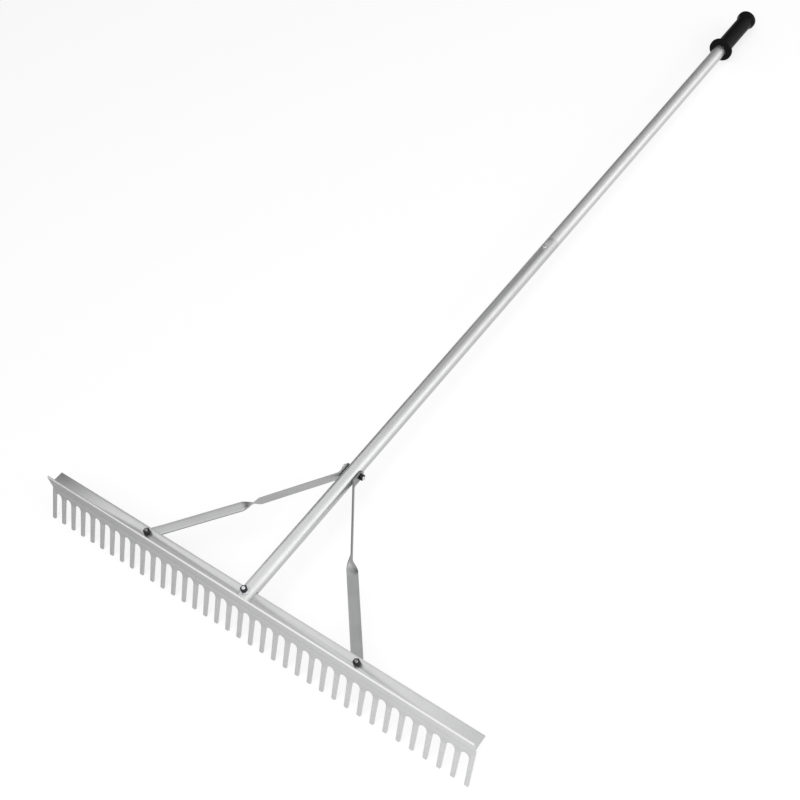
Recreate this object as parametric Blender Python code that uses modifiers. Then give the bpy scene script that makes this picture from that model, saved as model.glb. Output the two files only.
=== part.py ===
"""Landscape rake: a punched aluminium head, two twisted braces, a two-piece tube handle and a rubber grip.

The two handle tubes are locked together by a snap button on a leaf spring.

Every piece is modelled along the handle: X runs across the head, Y from the head to the grip, and Z
stands square to the flange, whose top face is at Z = 0 and whose back edge is at Y = 0. One empty carries
all the pieces and lays the rake down as it rests on the ground, on its tooth tips and on the hand guard
of its grip, with the origin under the middle of the rake.
"""

import math

import bmesh
import bpy
import numpy as np
from mathutils import Matrix, Vector

MM = 0.001

# Head: an extrusion with a raised lip, a flange behind it and a tooth plate bent forward
wall = 3.0 * MM
flange_depth = 24.6 * MM
lip_height = 19.2 * MM
bend_drop = 10.5 * MM
plate_length = 67.5 * MM
plate_lean = math.radians(26.3)
corner_fillet = 1.2 * MM
bend_radius_outside = 4.5 * MM

# Teeth: the plate is punched between them, each gap a slot with a round top that widens to the tips
tooth_count = 37
tooth_pitch = 25.4 * MM
tooth_tip_width = 7.3 * MM
tip_chamfer = 0.8 * MM
gap_top_drop = 9.1 * MM
gap_arch_radius = 7.9 * MM
head_end_margin = 3.3 * MM

# Handle tubes, on an axis in the middle of the flange's thickness
tube_radius = 13.35 * MM
tube_wall = 1.6 * MM
foot_setback = 2.5 * MM
foot_slot_overrun = 2.5 * MM
seam_station = 924.0 * MM
seam_gap = 0.3 * MM
upper_tube_length = 836.1 * MM
spigot_length = 60.0 * MM
spigot_clearance = 0.2 * MM
swage_length = 6.0 * MM

# Braces: flat strips, each twisted on its way from the flange to the side of the tube. A lead is how far the
# twist's middle lies below the waist; -1 is the left brace and 1 the right one.
brace_width = 19.05 * MM
brace_thickness = 2.5 * MM
brace_bolt_offset = 230.0 * MM
brace_flat_length = 30.0 * MM
brace_lean = math.radians(5.4)
brace_twist_length = 32.0 * MM
brace_twist_leads = {-1: 4.0 * MM, 1: 13.0 * MM}
brace_waist_length = 30.0 * MM
brace_waist_offset = 108.1 * MM
brace_waist_station = 132.7 * MM
brace_waist_height = 0.45 * MM
brace_bend_station = 256.7 * MM
brace_bend_radius = 12.0 * MM

# Fasteners: quarter inch bolts and nuts
bolt_radius = 3.175 * MM
bolt_hole_clearance = 0.325 * MM
hex_across_flats = 11.1 * MM
bolt_head_height = 4.4 * MM
nut_height = 5.6 * MM
bolt_protrusion = 2.4 * MM
bolt_line_inset = 10.2 * MM
cross_bolt_station = 275.0 * MM
saddle_radius = 8.5 * MM
saddle_thickness = 1.5 * MM

# Snap button: it locks the two tubes through both walls, on a leaf spring bent to a V inside the spigot
button_setback = 28.0 * MM
button_radius = 4.4 * MM
button_hole_radius = 4.9 * MM
button_rise = 2.0 * MM
button_dome = 2.4 * MM
spring_width = 8.0 * MM
spring_thickness = 0.8 * MM
spring_clearance = 0.375 * MM
spring_free_end = 8.0 * MM
spring_flat_end = 10.0 * MM
spring_apex = 46.0 * MM
spring_bend_radius = 2.4 * MM
spring_corner_radius = 4.0 * MM

# Grip: a rubber sleeve over the handle's end, with a hand guard and a knob
grip_body_radius = 17.2 * MM
guard_radius = 26.3 * MM
guard_thickness = 8.5 * MM
guard_edge = 2.5 * MM
guard_fillet = 3.0 * MM
knob_radius = 21.1 * MM
knob_length = 15.6 * MM
knob_edge = 5.0 * MM
knob_back_edge = 3.3 * MM
knob_fillet = 5.0 * MM
knob_slope = 2.5 * MM
grip_length = 135.4 * MM
grip_cap = 3.7 * MM

# Gap between pieces that touch
fit_gap = 0.3 * MM

# Facets of round shapes
tube_facets = 32
bolt_facets = 24
arch_steps = 8
fillet_steps = 3
brace_end_steps = 5
brace_twist_steps = 12
brace_bend_steps = 4

hole_radius = bolt_radius + bolt_hole_clearance
axis_height = -wall / 2
web_back = -flange_depth
web_front = web_back - wall
plate_down = Vector((0.0, -math.sin(plate_lean), -math.cos(plate_lean)))
plate_back = Vector((0.0, math.cos(plate_lean), -math.sin(plate_lean)))
bend_point = Vector((0.0, web_front, -bend_drop))
upper_tube_end = seam_station + seam_gap + upper_tube_length
grip_end = upper_tube_end + fit_gap + grip_cap
grip_start = grip_end - grip_length
button_station = seam_station - button_setback
spigot_bore = tube_radius - 2 * tube_wall - spigot_clearance
spring_reach = math.sqrt((spigot_bore - spring_clearance) ** 2 - (spring_width / 2) ** 2)
tab_offset = tube_radius + fit_gap + brace_thickness / 2
under_flange = -wall - fit_gap - brace_thickness / 2
cut_margin = 5.0 * MM
merge_distance = 0.00001


for old in list(bpy.data.objects):
    bpy.data.objects.remove(old, do_unlink=True)

rake = bpy.data.collections.new("landscape_rake")
cutters = bpy.data.collections.new("cutters")
bpy.context.scene.collection.children.link(rake)
bpy.context.scene.collection.children.link(cutters)

rest_pose = bpy.data.objects.new("rest_pose", None)
rake.objects.link(rest_pose)


def finish(name, colour, roughness, metallic):
    """Make a material with one Principled BSDF."""
    material = bpy.data.materials.new(name)
    material.use_nodes = True
    shader = material.node_tree.nodes["Principled BSDF"]
    shader.inputs["Base Color"].default_value = (*colour, 1.0)
    shader.inputs["Roughness"].default_value = roughness
    shader.inputs["Metallic"].default_value = metallic
    return material


def aluminium(name):
    """Mill-finish aluminium, for the head, the tubes and the braces."""
    return finish(name, (0.62, 0.63, 0.64), 0.38, 1.0)


def bright_steel(name):
    """Bright zinc-plated steel, for the bolts and the saddle washers."""
    return finish(name, (0.60, 0.60, 0.61), 0.35, 1.0)


def spring_steel(name):
    """Spring steel, for the leaf spring."""
    return finish(name, (0.35, 0.35, 0.36), 0.4, 1.0)


def dark_steel(name):
    """Dark plated steel, for the nuts."""
    return finish(name, (0.10, 0.10, 0.11), 0.35, 1.0)


def place(name, mesh, matrix, material=None):
    """Link an object of the mesh to the rest pose, as a piece or, without a material, as a cutter."""
    piece = bpy.data.objects.new(name, mesh)
    piece.parent = rest_pose
    piece.matrix_local = matrix
    if material:
        rake.objects.link(piece)
        mesh.materials.append(material)
    else:
        cutters.objects.link(piece)
        piece.hide_render = True
        piece.display_type = "WIRE"
    return piece


def combine(piece, other, operation="DIFFERENCE"):
    """Cut the piece by the other object, or join or intersect the two."""
    modifier = piece.modifiers.new(other.name, "BOOLEAN")
    modifier.operation = operation
    modifier.object = other


def shade(piece, degrees=40.0):
    """Shade the piece smooth, with its sharp edges kept."""
    piece.data.shade_smooth()
    piece.data.set_sharp_from_angle(angle=math.radians(degrees))


def rounded(corners, closed):
    """Return the points of an outline of (x, y, radius) corners, each with its radius as an arc."""
    points = []
    for index, (x, y, radius) in enumerate(corners):
        corner = Vector((x, y))
        inner = closed or 0 < index < len(corners) - 1
        if not inner or radius == 0.0:
            points.append(corner)
            continue
        before = Vector(corners[index - 1][:2]) - corner
        after = Vector(corners[(index + 1) % len(corners)][:2]) - corner
        half = before.angle(after) / 2
        centre = corner + (before.normalized() + after.normalized()).normalized() * radius / math.sin(half)
        start = corner + before.normalized() * radius / math.tan(half) - centre
        sweep = start.angle_signed(corner + after.normalized() * radius / math.tan(half) - centre)
        for step in range(fillet_steps + 1):
            points.append(centre + Matrix.Rotation(-sweep * step / fillet_steps, 2) @ start)
    return points


def solid_from_outlines(name, outlines, depth):
    """Return a mesh of flat outlines in the XY plane, extruded to half the depth on each side."""
    curve = bpy.data.curves.new(name, "CURVE")
    curve.dimensions = "2D"
    curve.fill_mode = "BOTH"
    curve.extrude = depth / 2
    curve.render_resolution_u = 0
    for outline in outlines:
        spline = curve.splines.new("POLY")
        spline.points.add(len(outline) - 1)
        for point, (x, y) in zip(spline.points, outline):
            point.co = (x, y, 0.0, 1.0)
        spline.use_cyclic_u = True
    carrier = bpy.data.objects.new(name, curve)
    rake.objects.link(carrier)
    evaluated = carrier.evaluated_get(bpy.context.evaluated_depsgraph_get())
    mesh = bpy.data.meshes.new_from_object(evaluated)
    bpy.data.objects.remove(carrier)
    solid = bmesh.new()
    solid.from_mesh(mesh)
    bmesh.ops.remove_doubles(solid, verts=solid.verts, dist=merge_distance)
    bmesh.ops.recalc_face_normals(solid, faces=solid.faces)
    solid.to_mesh(mesh)
    solid.free()
    return mesh


def prism(name, radius, depth, sides):
    """Return a mesh of a regular prism or cylinder about Z, from Z = 0 up to the depth."""
    solid = bmesh.new()
    raised = Matrix.Translation((0.0, 0.0, depth / 2))
    bmesh.ops.create_cone(
        solid, cap_ends=True, segments=sides, radius1=radius, radius2=radius, depth=depth, matrix=raised
    )
    mesh = bpy.data.meshes.new(name)
    solid.to_mesh(mesh)
    solid.free()
    return mesh


def turned(name, profile, closed, matrix, material=None, steps=tube_facets):
    """Place a profile of (radius, height) points, listed down the outer side, turned about its own Z."""
    outline = bmesh.new()
    corners = [outline.verts.new((radius, 0.0, height)) for radius, height in profile]
    for first, second in zip(corners, corners[1:]):
        outline.edges.new((first, second))
    if closed:
        outline.edges.new((corners[-1], corners[0]))
    mesh = bpy.data.meshes.new(name)
    outline.to_mesh(mesh)
    outline.free()
    piece = place(name, mesh, matrix, material)
    screw = piece.modifiers.new("turn", "SCREW")
    screw.steps = steps
    screw.render_steps = steps
    screw.use_merge_vertices = True
    screw.merge_threshold = merge_distance
    screw.use_smooth_shade = True
    return piece


def at(x, y, z, turn=None):
    """Return a matrix for a place along the handle, with an optional rotation."""
    return Matrix.Translation((x, y, z)) @ (turn or Matrix.Identity(4))


along_handle = Matrix.Rotation(-math.pi / 2, 4, "X")
across_flange = Matrix.Rotation(math.pi, 4, "X")
across_tube = Matrix.Rotation(math.pi / 2 + brace_lean, 4, "Y")
section_to_handle = Matrix(((0, 0, 1, 0), (1, 0, 0, 0), (0, 1, 0, 0), (0, 0, 0, 1)))


def drill(piece, name, matrix, depth, radius=hole_radius):
    """Cut a round hole into the piece, centred on the matrix and along its Z."""
    drilled = prism(name, radius, depth, bolt_facets)
    drilled.transform(Matrix.Translation((0.0, 0.0, -depth / 2)))
    combine(piece, place(name, drilled, matrix))


def head_section():
    """Return the head's cross-section, as points of Y and Z."""
    tip_front = bend_point + plate_down * plate_length
    tip_back = tip_front + plate_back * wall
    bend_back = bend_point + Vector((0.0, wall, -wall * math.tan(plate_lean / 2)))
    return rounded(
        [
            (web_front, lip_height, 0.0),
            (web_front, bend_point.z, bend_radius_outside - wall),
            (tip_front.y, tip_front.z, 0.0),
            (tip_back.y, tip_back.z, 0.0),
            (bend_back.y, bend_back.z, bend_radius_outside),
            (web_back, -wall, corner_fillet),
            (0.0, -wall, 0.0),
            (0.0, 0.0, 0.0),
            (web_back, 0.0, corner_fillet),
            (web_back, lip_height, 0.0),
        ],
        closed=True,
    )


def tooth_gap(centre):
    """Return the outline of one gap between teeth, as points across the head and down the plate."""
    spring_line = gap_top_drop + gap_arch_radius
    tip_half = (tooth_pitch - tooth_tip_width) / 2
    below = plate_length + cut_margin
    arch = [
        (
            centre + gap_arch_radius * math.cos(math.pi * step / arch_steps),
            spring_line - gap_arch_radius * math.sin(math.pi * step / arch_steps),
        )
        for step in range(arch_steps + 1)
    ]
    left = [
        (centre - tip_half, plate_length - tip_chamfer),
        (centre - tip_half - tip_chamfer, plate_length),
        (centre - tip_half - tip_chamfer, below),
    ]
    right = [(2 * centre - x, y) for x, y in reversed(left)]
    return arch + left + right


def build_head():
    """The extruded head, with its teeth punched and its three bolt holes drilled."""
    half_length = tooth_pitch * (tooth_count - 1) / 2 + head_end_margin
    section = solid_from_outlines("rake_head", [head_section()], 2 * half_length)
    head = place("rake_head", section, section_to_handle, aluminium("head_aluminium"))

    gap_centres = [tooth_pitch * (index - (tooth_count - 2) / 2) for index in range(tooth_count - 1)]
    gaps = solid_from_outlines("tooth_gaps", [tooth_gap(centre) for centre in gap_centres], wall + cut_margin)
    plate_middle = bend_point + plate_back * wall / 2
    across = Vector((1.0, 0.0, 0.0))
    plate_frame = Matrix((across, plate_down, across.cross(plate_down))).transposed().to_4x4()
    plate_frame.translation = plate_middle
    combine(head, place("tooth_gaps", gaps, plate_frame))

    for name, offset in (("left", -brace_bolt_offset), ("base", 0.0), ("right", brace_bolt_offset)):
        drill(head, name + "_flange_hole", at(offset, -bolt_line_inset, -wall / 2), wall + cut_margin)
    shade(head)


def drill_button_hole(tube, name):
    """Drill the snap button's hole through the top wall of a tube."""
    drill(tube, name, at(0.0, button_station, axis_height + tube_radius), tube_radius, button_hole_radius)


def build_lower_tube():
    """The lower handle tube: its slotted foot straddles the flange, and its upper end takes the spigot."""
    foot = foot_setback - flange_depth
    bore = tube_radius - tube_wall
    profile = [(tube_radius, seam_station), (tube_radius, foot), (bore, foot), (bore, seam_station)]
    middle = at(0.0, 0.0, axis_height, along_handle)
    tube = turned("lower_handle_tube", profile, True, middle, aluminium("lower_tube_aluminium"))

    reach = tube_radius + cut_margin
    start = foot - cut_margin
    outline = [(-reach, start), (reach, start), (reach, foot_slot_overrun), (-reach, foot_slot_overrun)]
    slot = solid_from_outlines("foot_slot", [outline], wall + 2 * fit_gap)
    combine(tube, place("foot_slot", slot, at(0.0, 0.0, axis_height)))

    through = 2 * tube_radius + cut_margin
    drill(tube, "foot_hole", at(0.0, -bolt_line_inset, axis_height), through)
    drill(tube, "cross_hole", at(0.0, cross_bolt_station, axis_height, across_tube), through)
    drill_button_hole(tube, "lower_button_hole")


def build_upper_tube():
    """The upper handle tube: its lower end is swaged to a spigot that slides into the lower tube."""
    spigot_radius = tube_radius - tube_wall - spigot_clearance
    shoulder = seam_station + seam_gap
    spigot_start = seam_station - spigot_length
    profile = [
        (tube_radius, upper_tube_end),
        (tube_radius, shoulder),
        (spigot_radius, shoulder - seam_gap / 2),
        (spigot_radius, spigot_start),
        (spigot_radius - tube_wall, spigot_start),
        (spigot_radius - tube_wall, shoulder),
        (tube_radius - tube_wall, shoulder + swage_length),
        (tube_radius - tube_wall, upper_tube_end),
    ]
    middle = at(0.0, 0.0, axis_height, along_handle)
    tube = turned("upper_handle_tube", profile, True, middle, aluminium("upper_tube_aluminium"))
    drill_button_hole(tube, "upper_button_hole")


def walk(legs, heading, distance):
    """Return (point, heading) at a distance along legs of (length, turn), from the origin of a plan."""
    point = Vector((0.0, 0.0))
    for length, turn in legs:
        step = min(distance, length)
        turned_by = turn * step / length
        chord = 2 * length / turn * math.sin(turned_by / 2) if turn else step
        way = heading + turned_by / 2
        point += Vector((math.sin(way), math.cos(way))) * chord
        heading += turned_by
        distance -= step
    return point, heading


def brace_tab(side, y):
    """Return the middle of a brace's tab, at a station along the tube; side is 1 right and -1 left."""
    across = side * tab_offset * math.cos(brace_lean)
    return Vector((across, y, axis_height - side * tab_offset * math.sin(brace_lean)))


def brace_stations(side):
    """Return (middle, direction, twist, half width) along a brace, from its flange end to its tab."""
    seat = Vector((brace_bolt_offset, -bolt_line_inset))
    waist = Vector((brace_waist_offset, brace_waist_station))
    tab = brace_tab(side, brace_bend_station)
    bend = Vector((abs(tab.x), tab.y))
    lower_angle = math.atan2(seat.x - waist.x, waist.y - seat.y)
    upper_angle = math.atan2(waist.x - bend.x, bend.y - waist.y)
    turn = lower_angle - upper_angle
    waist_tangent = brace_waist_length / turn * math.tan(turn / 2)
    bend_tangent = brace_bend_radius * math.tan(upper_angle / 2)
    legs = [
        ((waist - seat).length - waist_tangent, 0.0),
        (brace_waist_length, turn),
        ((bend - waist).length - waist_tangent - bend_tangent, 0.0),
        (brace_bend_radius * upper_angle, upper_angle),
        (cross_bolt_station - brace_bend_station - bend_tangent, 0.0),
    ]
    waist_start, waist_end, bend_start, bend_end, tab_bolt = np.cumsum([length for length, _ in legs])
    crest = (waist_start + waist_end) / 2
    twist_start = crest - brace_twist_leads[side] - brace_twist_length / 2
    twist_end = twist_start + brace_twist_length
    full_twist = -side * (math.pi / 2 + side * brace_lean)
    legs[-1] = (legs[-1][0] + brace_width, 0.0)

    half = brace_width / 2
    corner_turns = [math.pi / 2 * step / brace_end_steps for step in range(1, brace_end_steps + 1)]
    round_end = [(half - half * math.cos(corner), half * math.sin(corner)) for corner in corner_turns]
    marks = [(along - half, width) for along, width in round_end]
    marks.append((brace_flat_length, half))
    marks += [(distance, half) for distance in np.linspace(twist_start, twist_end, brace_twist_steps + 1)]
    marks.append((waist_end, half))
    marks += [(distance, half) for distance in np.linspace(bend_start, bend_end, brace_bend_steps + 1)]
    marks += [(tab_bolt + half - along, width) for along, width in reversed(round_end)]

    stations = []
    for distance, width in marks:
        point, heading = walk(legs, -lower_angle, distance)
        twist = np.interp(distance, [twist_start, twist_end], [0.0, full_twist])
        height = np.interp(
            distance,
            [brace_flat_length, crest, bend_start],
            [under_flange, brace_waist_height, tab.z],
        )
        middle = Vector((side * (seat.x + point.x), seat.y + point.y, height))
        direction = Vector((side * math.sin(heading), math.cos(heading), 0.0))
        stations.append((middle, direction, twist, width))
    return stations


def build_brace(name, side):
    """One brace: a grid along its route, turned by the twist and thickened, with a bolt hole at each end."""
    stations = brace_stations(side)
    last = len(stations) - 1
    strip = bmesh.new()
    bmesh.ops.create_grid(strip, x_segments=last, y_segments=1, size=1.0)
    up = Vector((0.0, 0.0, 1.0))
    for corner in strip.verts:
        middle, direction, twist, width = stations[round((corner.co.x + 1.0) / 2.0 * last)]
        sideways = direction.cross(up) * math.cos(twist) + up * math.sin(twist)
        corner.co = middle + sideways * math.copysign(width, corner.co.y)
    bmesh.ops.recalc_face_normals(strip, faces=strip.faces)
    mesh = bpy.data.meshes.new(name)
    strip.to_mesh(mesh)
    strip.free()
    brace = place(name, mesh, Matrix.Identity(4), aluminium(name + "_aluminium"))
    thicken = brace.modifiers.new("thicken", "SOLIDIFY")
    thicken.thickness = brace_thickness
    thicken.offset = 0.0
    thicken.use_even_offset = True

    depth = brace_thickness + cut_margin
    drill(brace, name + "_flange_hole", at(side * brace_bolt_offset, -bolt_line_inset, under_flange), depth)
    drill(brace, name + "_tab_hole", at(*brace_tab(side, cross_bolt_station), across_tube), depth)


def build_bolt(name, matrix, clamped):
    """A hex bolt whose head bears at the matrix's origin and whose shank runs along its Z past a nut."""
    length = clamped + 2 * fit_gap + nut_height + bolt_protrusion
    corner_radius = hex_across_flats / 2 / math.cos(math.pi / 6)
    seated = matrix @ Matrix.Translation((0.0, 0.0, -fit_gap))
    bolt = place(name, prism(name, corner_radius, bolt_head_height, 6),
                 seated @ Matrix.Translation((0.0, 0.0, -bolt_head_height)), bright_steel(name + "_steel"))
    overlap = bolt_head_height / 2
    shank = prism(name + "_shank", bolt_radius, length + fit_gap + overlap, bolt_facets)
    combine(bolt, place(name + "_shank", shank, seated @ Matrix.Translation((0.0, 0.0, -overlap))), "UNION")


def build_nut(name, matrix):
    """A hex nut that bears at the matrix's origin, on the side that its Z points to."""
    corner_radius = hex_across_flats / 2 / math.cos(math.pi / 6)
    seated = matrix @ Matrix.Translation((0.0, 0.0, fit_gap))
    nut = place(name, prism(name, corner_radius, nut_height, 6), seated, dark_steel(name + "_steel"))
    middle = seated @ Matrix.Translation((0.0, 0.0, nut_height / 2))
    drill(nut, name + "_bore", middle, nut_height + cut_margin, bolt_radius + fit_gap)


def build_bolted_pair(prefix, matrix, below, above):
    """A bolt and its nut, on either side of the matrix's origin at the given distances."""
    build_bolt(prefix + "_bolt", matrix @ Matrix.Translation((0.0, 0.0, -below)), below + above)
    build_nut(prefix + "_nut", matrix @ Matrix.Translation((0.0, 0.0, above)))


def build_saddle(name, turn):
    """A washer curved to the tube, above the foot or, turned over, below it."""
    inside = tube_radius + fit_gap
    outside = inside + saddle_thickness
    reach = saddle_radius + cut_margin
    ring = [(outside, reach), (outside, -reach), (inside, -reach), (inside, reach)]
    middle = at(0.0, -bolt_line_inset, axis_height, turn @ along_handle)
    washer = turned(name, ring, True, middle, bright_steel(name + "_steel"))
    blank = prism(name + "_blank", saddle_radius, outside + cut_margin, bolt_facets)
    combine(washer, place(name + "_blank", blank, at(0.0, -bolt_line_inset, axis_height, turn)), "INTERSECT")
    drill(washer, name + "_hole", at(0.0, -bolt_line_inset, axis_height, turn), 2 * (outside + cut_margin))


def build_fasteners():
    """The bolts, the nuts and the saddle washers."""
    washer_top = tube_radius + fit_gap + saddle_thickness
    build_saddle("base_saddle_washer", Matrix.Identity(4))
    build_saddle("base_lower_washer", across_flange)
    build_bolted_pair("base", at(0.0, -bolt_line_inset, axis_height), washer_top, washer_top)
    for prefix, side in (("left_flange", -1), ("right_flange", 1)):
        place_on_flange = at(side * brace_bolt_offset, -bolt_line_inset, 0.0)
        build_bolted_pair(prefix, place_on_flange, wall + fit_gap + brace_thickness, 0.0)
    tab_outside = tab_offset + brace_thickness / 2
    through_tabs = at(0.0, cross_bolt_station, axis_height, across_tube)
    build_bolted_pair("cross", through_tabs, tab_outside, tab_outside)


def spring_outline():
    """Return the leaf spring's outline, as points of Y and Z about the button's station on the axis."""
    slant = math.atan2(spring_reach, spring_apex - spring_flat_end)
    inside_reach = spring_reach - spring_thickness
    inside_flat_end = spring_flat_end - spring_thickness * math.tan(slant / 2)
    inside_apex = spring_apex - spring_thickness / math.sin(slant)
    return rounded(
        [
            (-spring_free_end, spring_reach, 0.0),
            (spring_flat_end, spring_reach, spring_corner_radius),
            (spring_apex, 0.0, spring_bend_radius),
            (spring_flat_end, -spring_reach, spring_corner_radius),
            (-spring_free_end, -spring_reach, 0.0),
            (-spring_free_end, -inside_reach, 0.0),
            (inside_flat_end, -inside_reach, spring_corner_radius - spring_thickness),
            (inside_apex, 0.0, spring_bend_radius - spring_thickness),
            (inside_flat_end, inside_reach, spring_corner_radius - spring_thickness),
            (-spring_free_end, inside_reach, 0.0),
        ],
        closed=True,
    )


def build_snap_button():
    """The snap button, which slides in the holes of both tubes, and the leaf spring that presses it out."""
    top = tube_radius + button_rise
    profile = rounded(
        [
            (0.0, top, 0.0),
            (button_radius, top, button_dome),
            (button_radius, spring_reach + fit_gap, 0.0),
            (0.0, spring_reach + fit_gap, 0.0),
        ],
        closed=False,
    )
    seat = at(0.0, button_station, axis_height)
    turned("snap_button", profile, False, seat, bright_steel("snap_button_steel"), bolt_facets)

    leaf = solid_from_outlines("snap_button_spring", [spring_outline()], spring_width)
    place("snap_button_spring", leaf, seat @ section_to_handle, spring_steel("snap_button_spring_steel"))


def build_grip():
    """The rubber grip: a hand guard, a straight body and an end knob, in one moulding over the tube."""
    bore = tube_radius + fit_gap
    guard_end = grip_start + guard_thickness
    profile = rounded(
        [
            (0.0, grip_end, 0.0),
            (knob_radius, grip_end, knob_edge),
            (knob_radius, grip_end - knob_length + knob_fillet, knob_back_edge),
            (grip_body_radius, grip_end - knob_length - knob_slope, knob_fillet),
            (grip_body_radius, guard_end, guard_fillet),
            (guard_radius, guard_end, guard_edge),
            (guard_radius, grip_start, guard_edge),
            (bore, grip_start, 0.0),
            (bore, upper_tube_end + fit_gap, 0.0),
            (0.0, upper_tube_end + fit_gap, 0.0),
        ],
        closed=False,
    )
    middle = at(0.0, 0.0, axis_height, along_handle)
    turned("handle_grip", profile, False, middle, finish("grip_rubber", (0.018, 0.018, 0.020), 0.7, 0.0))


def lay_down():
    """Turn the rake to rest on its tooth tips and its hand guard, over the origin."""
    tip = bend_point + plate_down * plate_length + plate_back * wall
    guard = Vector((0.0, grip_start + guard_thickness - guard_edge, axis_height - guard_radius))
    slope = math.atan2(guard.z - tip.z, guard.y - tip.y)
    rest_pose.matrix_world = Matrix.Rotation(-slope, 4, "X")
    bpy.context.view_layer.update()
    depsgraph = bpy.context.evaluated_depsgraph_get()
    points = []
    for piece in rake.objects:
        if piece.type == "MESH":
            solid = piece.evaluated_get(depsgraph)
            points += [solid.matrix_world @ vertex.co for vertex in solid.data.vertices]
    nearest = min(point.y for point in points)
    farthest = max(point.y for point in points)
    lowest = min(point.z for point in points)
    rest_pose.matrix_world.translation = (0.0, -(nearest + farthest) / 2, -lowest)
    bpy.context.view_layer.update()


build_head()
build_lower_tube()
build_upper_tube()
build_brace("left_brace", -1)
build_brace("right_brace", 1)
build_grip()
build_fasteners()
build_snap_button()
lay_down()
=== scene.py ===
"""Landscape rake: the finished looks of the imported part, modelled piece by piece around its frame.

Every piece is modelled along the handle, where X runs across the head, Y from the head to the grip
and Z stands square to the flange, whose top face is at Z = 0 and whose back edge is at Y = 0.
REST_POSE then lays each piece down as the rake rests on the ground, on its tooth tips and on the
hand guard of its grip.
"""

import logging
import math
from collections.abc import Callable, Iterator, Mapping, Sequence
from contextlib import contextmanager
from dataclasses import dataclass, field, replace
from enum import Enum

import bmesh
import bpy
from bpy.types import Material, Node, NodeSocket, NodeTree, Object
from mathutils import Matrix, Vector

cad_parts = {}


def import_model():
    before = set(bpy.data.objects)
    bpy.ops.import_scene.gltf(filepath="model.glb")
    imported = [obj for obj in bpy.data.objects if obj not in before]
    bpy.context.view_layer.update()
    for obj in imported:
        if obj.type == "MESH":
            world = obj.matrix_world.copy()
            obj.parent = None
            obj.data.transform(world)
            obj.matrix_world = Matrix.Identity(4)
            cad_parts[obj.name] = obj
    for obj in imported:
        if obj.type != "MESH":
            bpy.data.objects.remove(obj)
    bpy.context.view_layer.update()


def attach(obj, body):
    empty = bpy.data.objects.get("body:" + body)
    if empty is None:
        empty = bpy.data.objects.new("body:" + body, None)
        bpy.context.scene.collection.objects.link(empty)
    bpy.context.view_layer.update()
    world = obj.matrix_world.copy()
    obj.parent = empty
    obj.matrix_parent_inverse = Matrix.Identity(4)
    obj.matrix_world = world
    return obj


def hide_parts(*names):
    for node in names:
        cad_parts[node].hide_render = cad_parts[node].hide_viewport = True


LOG = logging.getLogger("landscape_rake")
MM = 0.001
PLACE_TOLERANCE = 0.02 * MM
MERGE_DISTANCE = 0.004 * MM
FLAT_ANGLE = math.radians(0.05)
SMOOTH_ANGLE = math.radians(32.0)
SHARP_OVER = 32.0
DRILL_FACETS = 48
HEX_SIDES = 6
MIX_COLOURS = (6, 7)
MIX_RESULT = 2
HALF_PHOTO_PIXEL = 0.5 / 800

FIT_GAP = 0.3 * MM
FLANGE_WALL = 3.0 * MM
STRIP_THICKNESS = 2.5 * MM
BOLT_LINE = -10.2 * MM
FLANGE_BOLTS = 230.0 * MM
CROSS_BOLT = 275.0 * MM

REST_POSE = Matrix(
    (
        (1.0, 0.0, 0.0, 0.0),
        (0.0, 0.999652803, 0.026349828, -0.8524068),
        (0.0, -0.026349828, 0.999652803, 0.070872508),
        (0.0, 0.0, 0.0, 1.0),
    )
)
IDENTITY = Matrix.Identity(4)
ALONG_HANDLE = Matrix.Rotation(-math.pi / 2, 4, "X")
UPSIDE_DOWN = Matrix.Rotation(math.pi, 4, "X")

Test = Callable[[Sequence[Vector]], bool]
Colour = tuple[float, float, float]
Place = tuple[float, float, float]
Range = tuple[float, float]
Sockets = Mapping[str, NodeSocket]
BLACK: Colour = (0.0, 0.0, 0.0)
WHITE: Colour = (1.0, 1.0, 1.0)


class Domain(Enum):
    """What edit mode selects."""

    EDGE = "EDGE"
    FACE = "FACE"


class Side(Enum):
    """A side of the rake, as the sign of its X."""

    LEFT = -1
    RIGHT = 1


class Body(Enum):
    """The bodies of the frame."""

    RAKE = "rake"
    BUTTON = "button"


class Shape(Enum):
    """How a turned profile ends: as a solid, or as a ring that closes on itself."""

    SOLID = "NGON"
    RING = "NOTHING"


def take(piece: Object) -> None:
    """Select one object alone and make it active.

    Args:
        piece: The object.
    """
    bpy.ops.object.select_all(action="DESELECT")
    piece.select_set(True)
    bpy.context.view_layer.objects.active = piece


def added(name: str) -> Object:
    """Name the object that an operator has just added.

    Args:
        name: The object's name.

    Returns:
        The object.
    """
    piece = bpy.context.object
    piece.name = name
    return piece


@contextmanager
def editing(piece: Object) -> Iterator[None]:
    """Hold the object in edit mode for the length of a with block.

    Args:
        piece: The object.
    """
    take(piece)
    bpy.ops.object.mode_set(mode="EDIT")
    yield
    bpy.ops.object.mode_set(mode="OBJECT")


def choose(piece: Object, domain: Domain, test: Test) -> None:
    """Select the edges or faces whose corners pass a test, in edit mode.

    Args:
        piece: The object in edit mode.
        domain: What is selected.
        test: Takes the places of an element's corners and says whether it is wanted.
    """
    bpy.ops.mesh.select_mode(type=domain.value)
    bpy.ops.mesh.select_all(action="DESELECT")
    mesh = bmesh.from_edit_mesh(piece.data)
    for element in mesh.edges if domain is Domain.EDGE else mesh.faces:
        if test([vertex.co for vertex in element.verts]):
            element.select_set(True)
    mesh.select_flush_mode()
    bmesh.update_edit_mesh(piece.data)


def choose_all() -> None:
    """Select the whole mesh, in edit mode."""
    bpy.ops.mesh.select_all(action="SELECT")


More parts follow.
